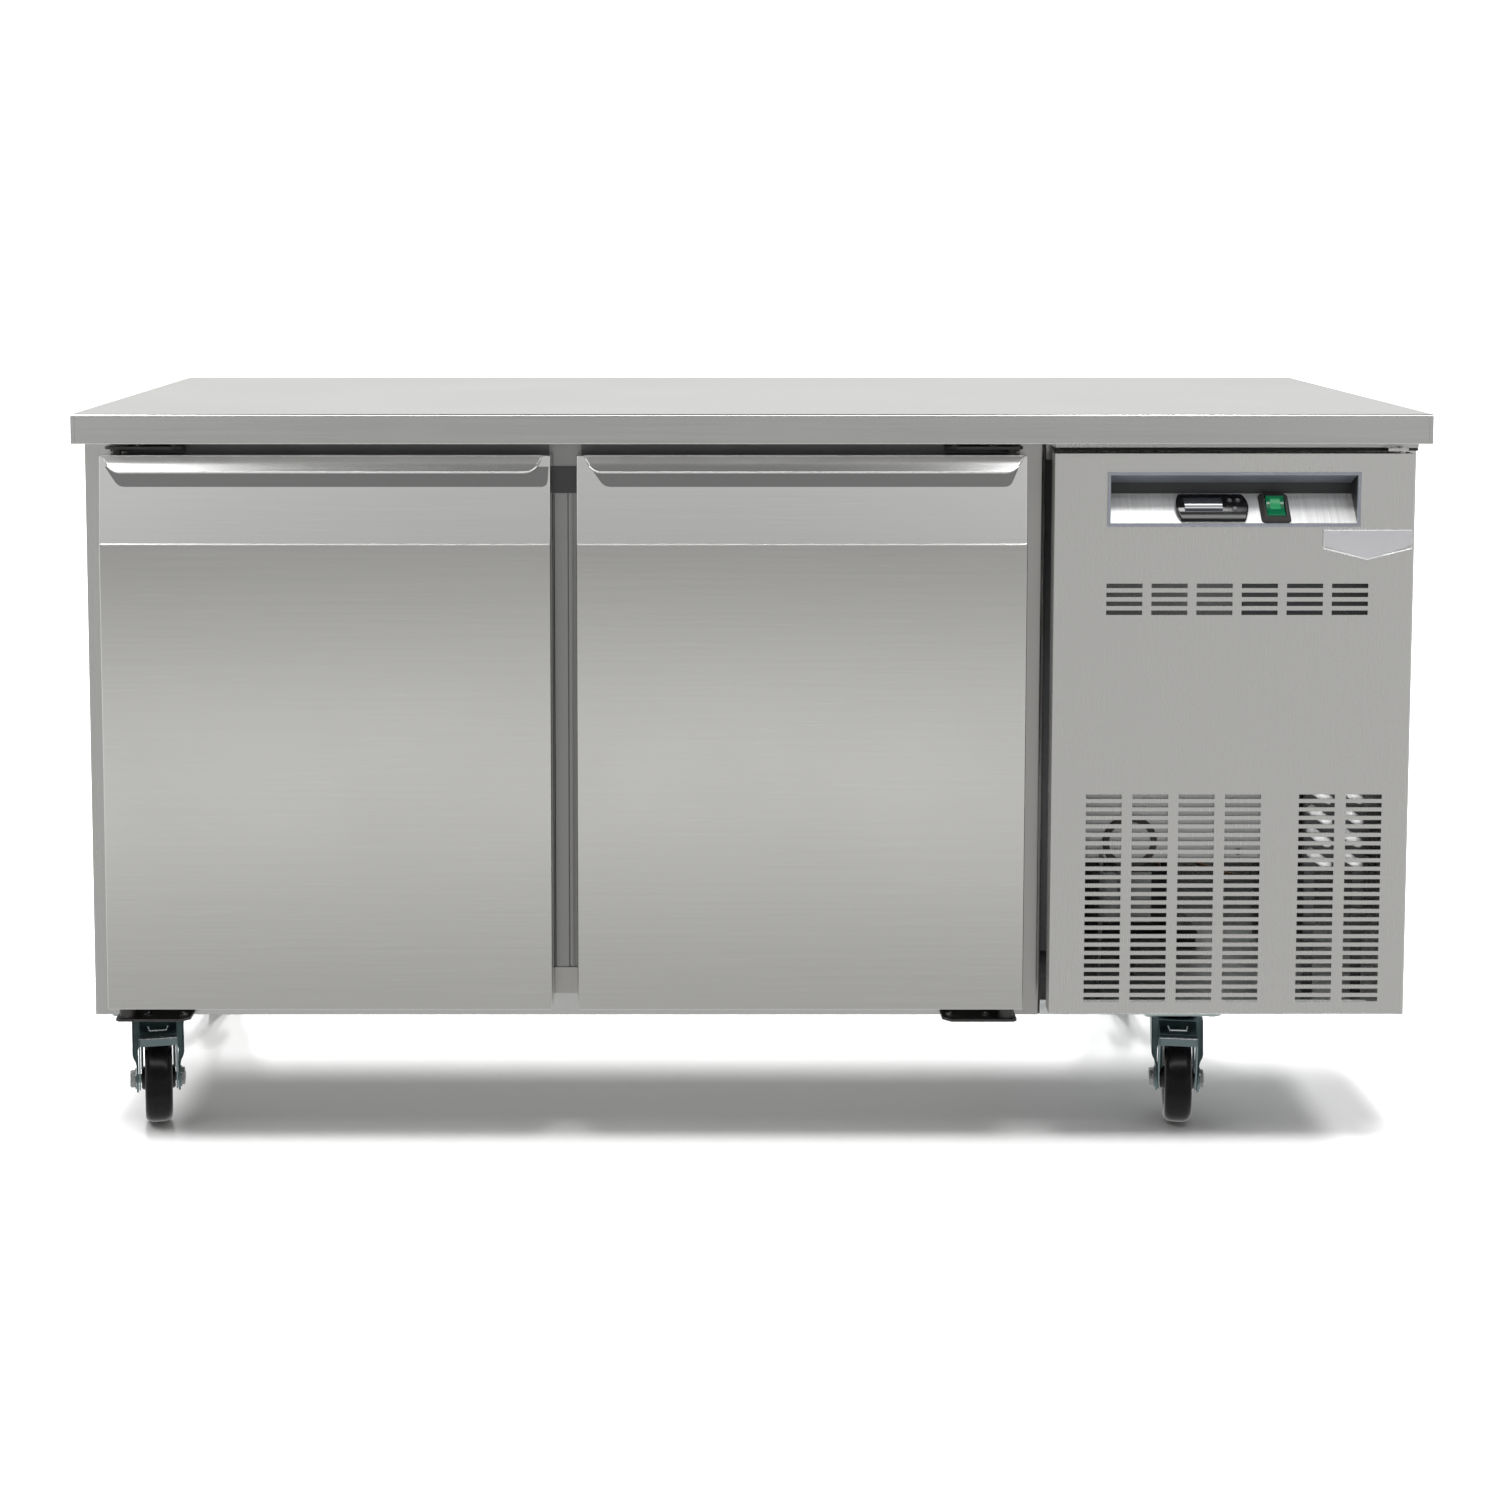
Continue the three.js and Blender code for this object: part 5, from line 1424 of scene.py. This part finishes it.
def narrow_beam(name, place, aim, angle, power):
    """A cone of light, for what stands behind the louvres."""
    data = bpy.data.lights.new(name, "SPOT")
    data.energy = power
    data.spot_size = math.radians(angle)
    data.spot_blend = 0.5
    data.shadow_soft_size = 0.12
    aimed(name, data, place, aim).visible_glossy = False


def make_lights():
    soft_box("lip_light_left", (-1.75, -0.9, 2.6), (-1.75, -0.9, 0.0), 1.4, 1.8, 36)
    soft_box("lip_light_right", (1.4, -0.9, 2.6), (1.4, -0.9, 0.0), 1.2, 1.8, 4)
    edge = soft_box("edge_strip", (0.0, -2.6, 3.3), (0.0, -0.35, 0.7), 6.0, 0.55, 80)
    edge.visible_camera = False
    edge.visible_diffuse = False
    soft_box("slope_light", (0.56, -0.66, 1.5), (0.53, -0.33, 0.72), 0.28, 0.16, 2.5)
    sun("top_sun", 0, 87, 3.3, 26)
    for azimuth in (168, 180, 192):
        sun(f"back_sun_{azimuth}", azimuth, 17.5, 4.1, 5)
    narrow_beam("grille_fill", (-0.07, -3.3, 1.0), (0.55, -0.34, 0.40), 10, 380)


def make_camera():
    """Eye level well above the worktop, looking slightly down, with the rest taken up by a lens shift."""
    data = bpy.data.cameras.new("camera")
    camera = bpy.data.objects.new("camera", data)
    bpy.context.scene.collection.objects.link(camera)
    camera.location = CAMERA_PLACE
    camera.rotation_euler = (math.radians(90 - CAMERA_TILT), 0, 0)
    data.sensor_width = 36.0
    data.lens = CAMERA_LENS
    data.shift_x, data.shift_y = CAMERA_SHIFT
    bpy.context.scene.camera = camera


make_camera()
make_worktop()
make_cabinet()
make_divider()
make_mullion()
make_bay_head()
make_fasteners()
make_cold_room()
make_evaporator()
for side, (left, way) in DOORS.items():
    make_door(side, left, way)
make_compressor()
make_pipes()
make_condenser()
make_electrical_box()
make_service_panel()
make_baffle()
make_badge_rim()
make_controller()
make_switch()
for place, (x, y) in CASTERS.items():
    make_caster(place, x, y)
make_stage()
make_world()
make_lights()
bpy.context.scene.view_settings.view_transform = "Standard"
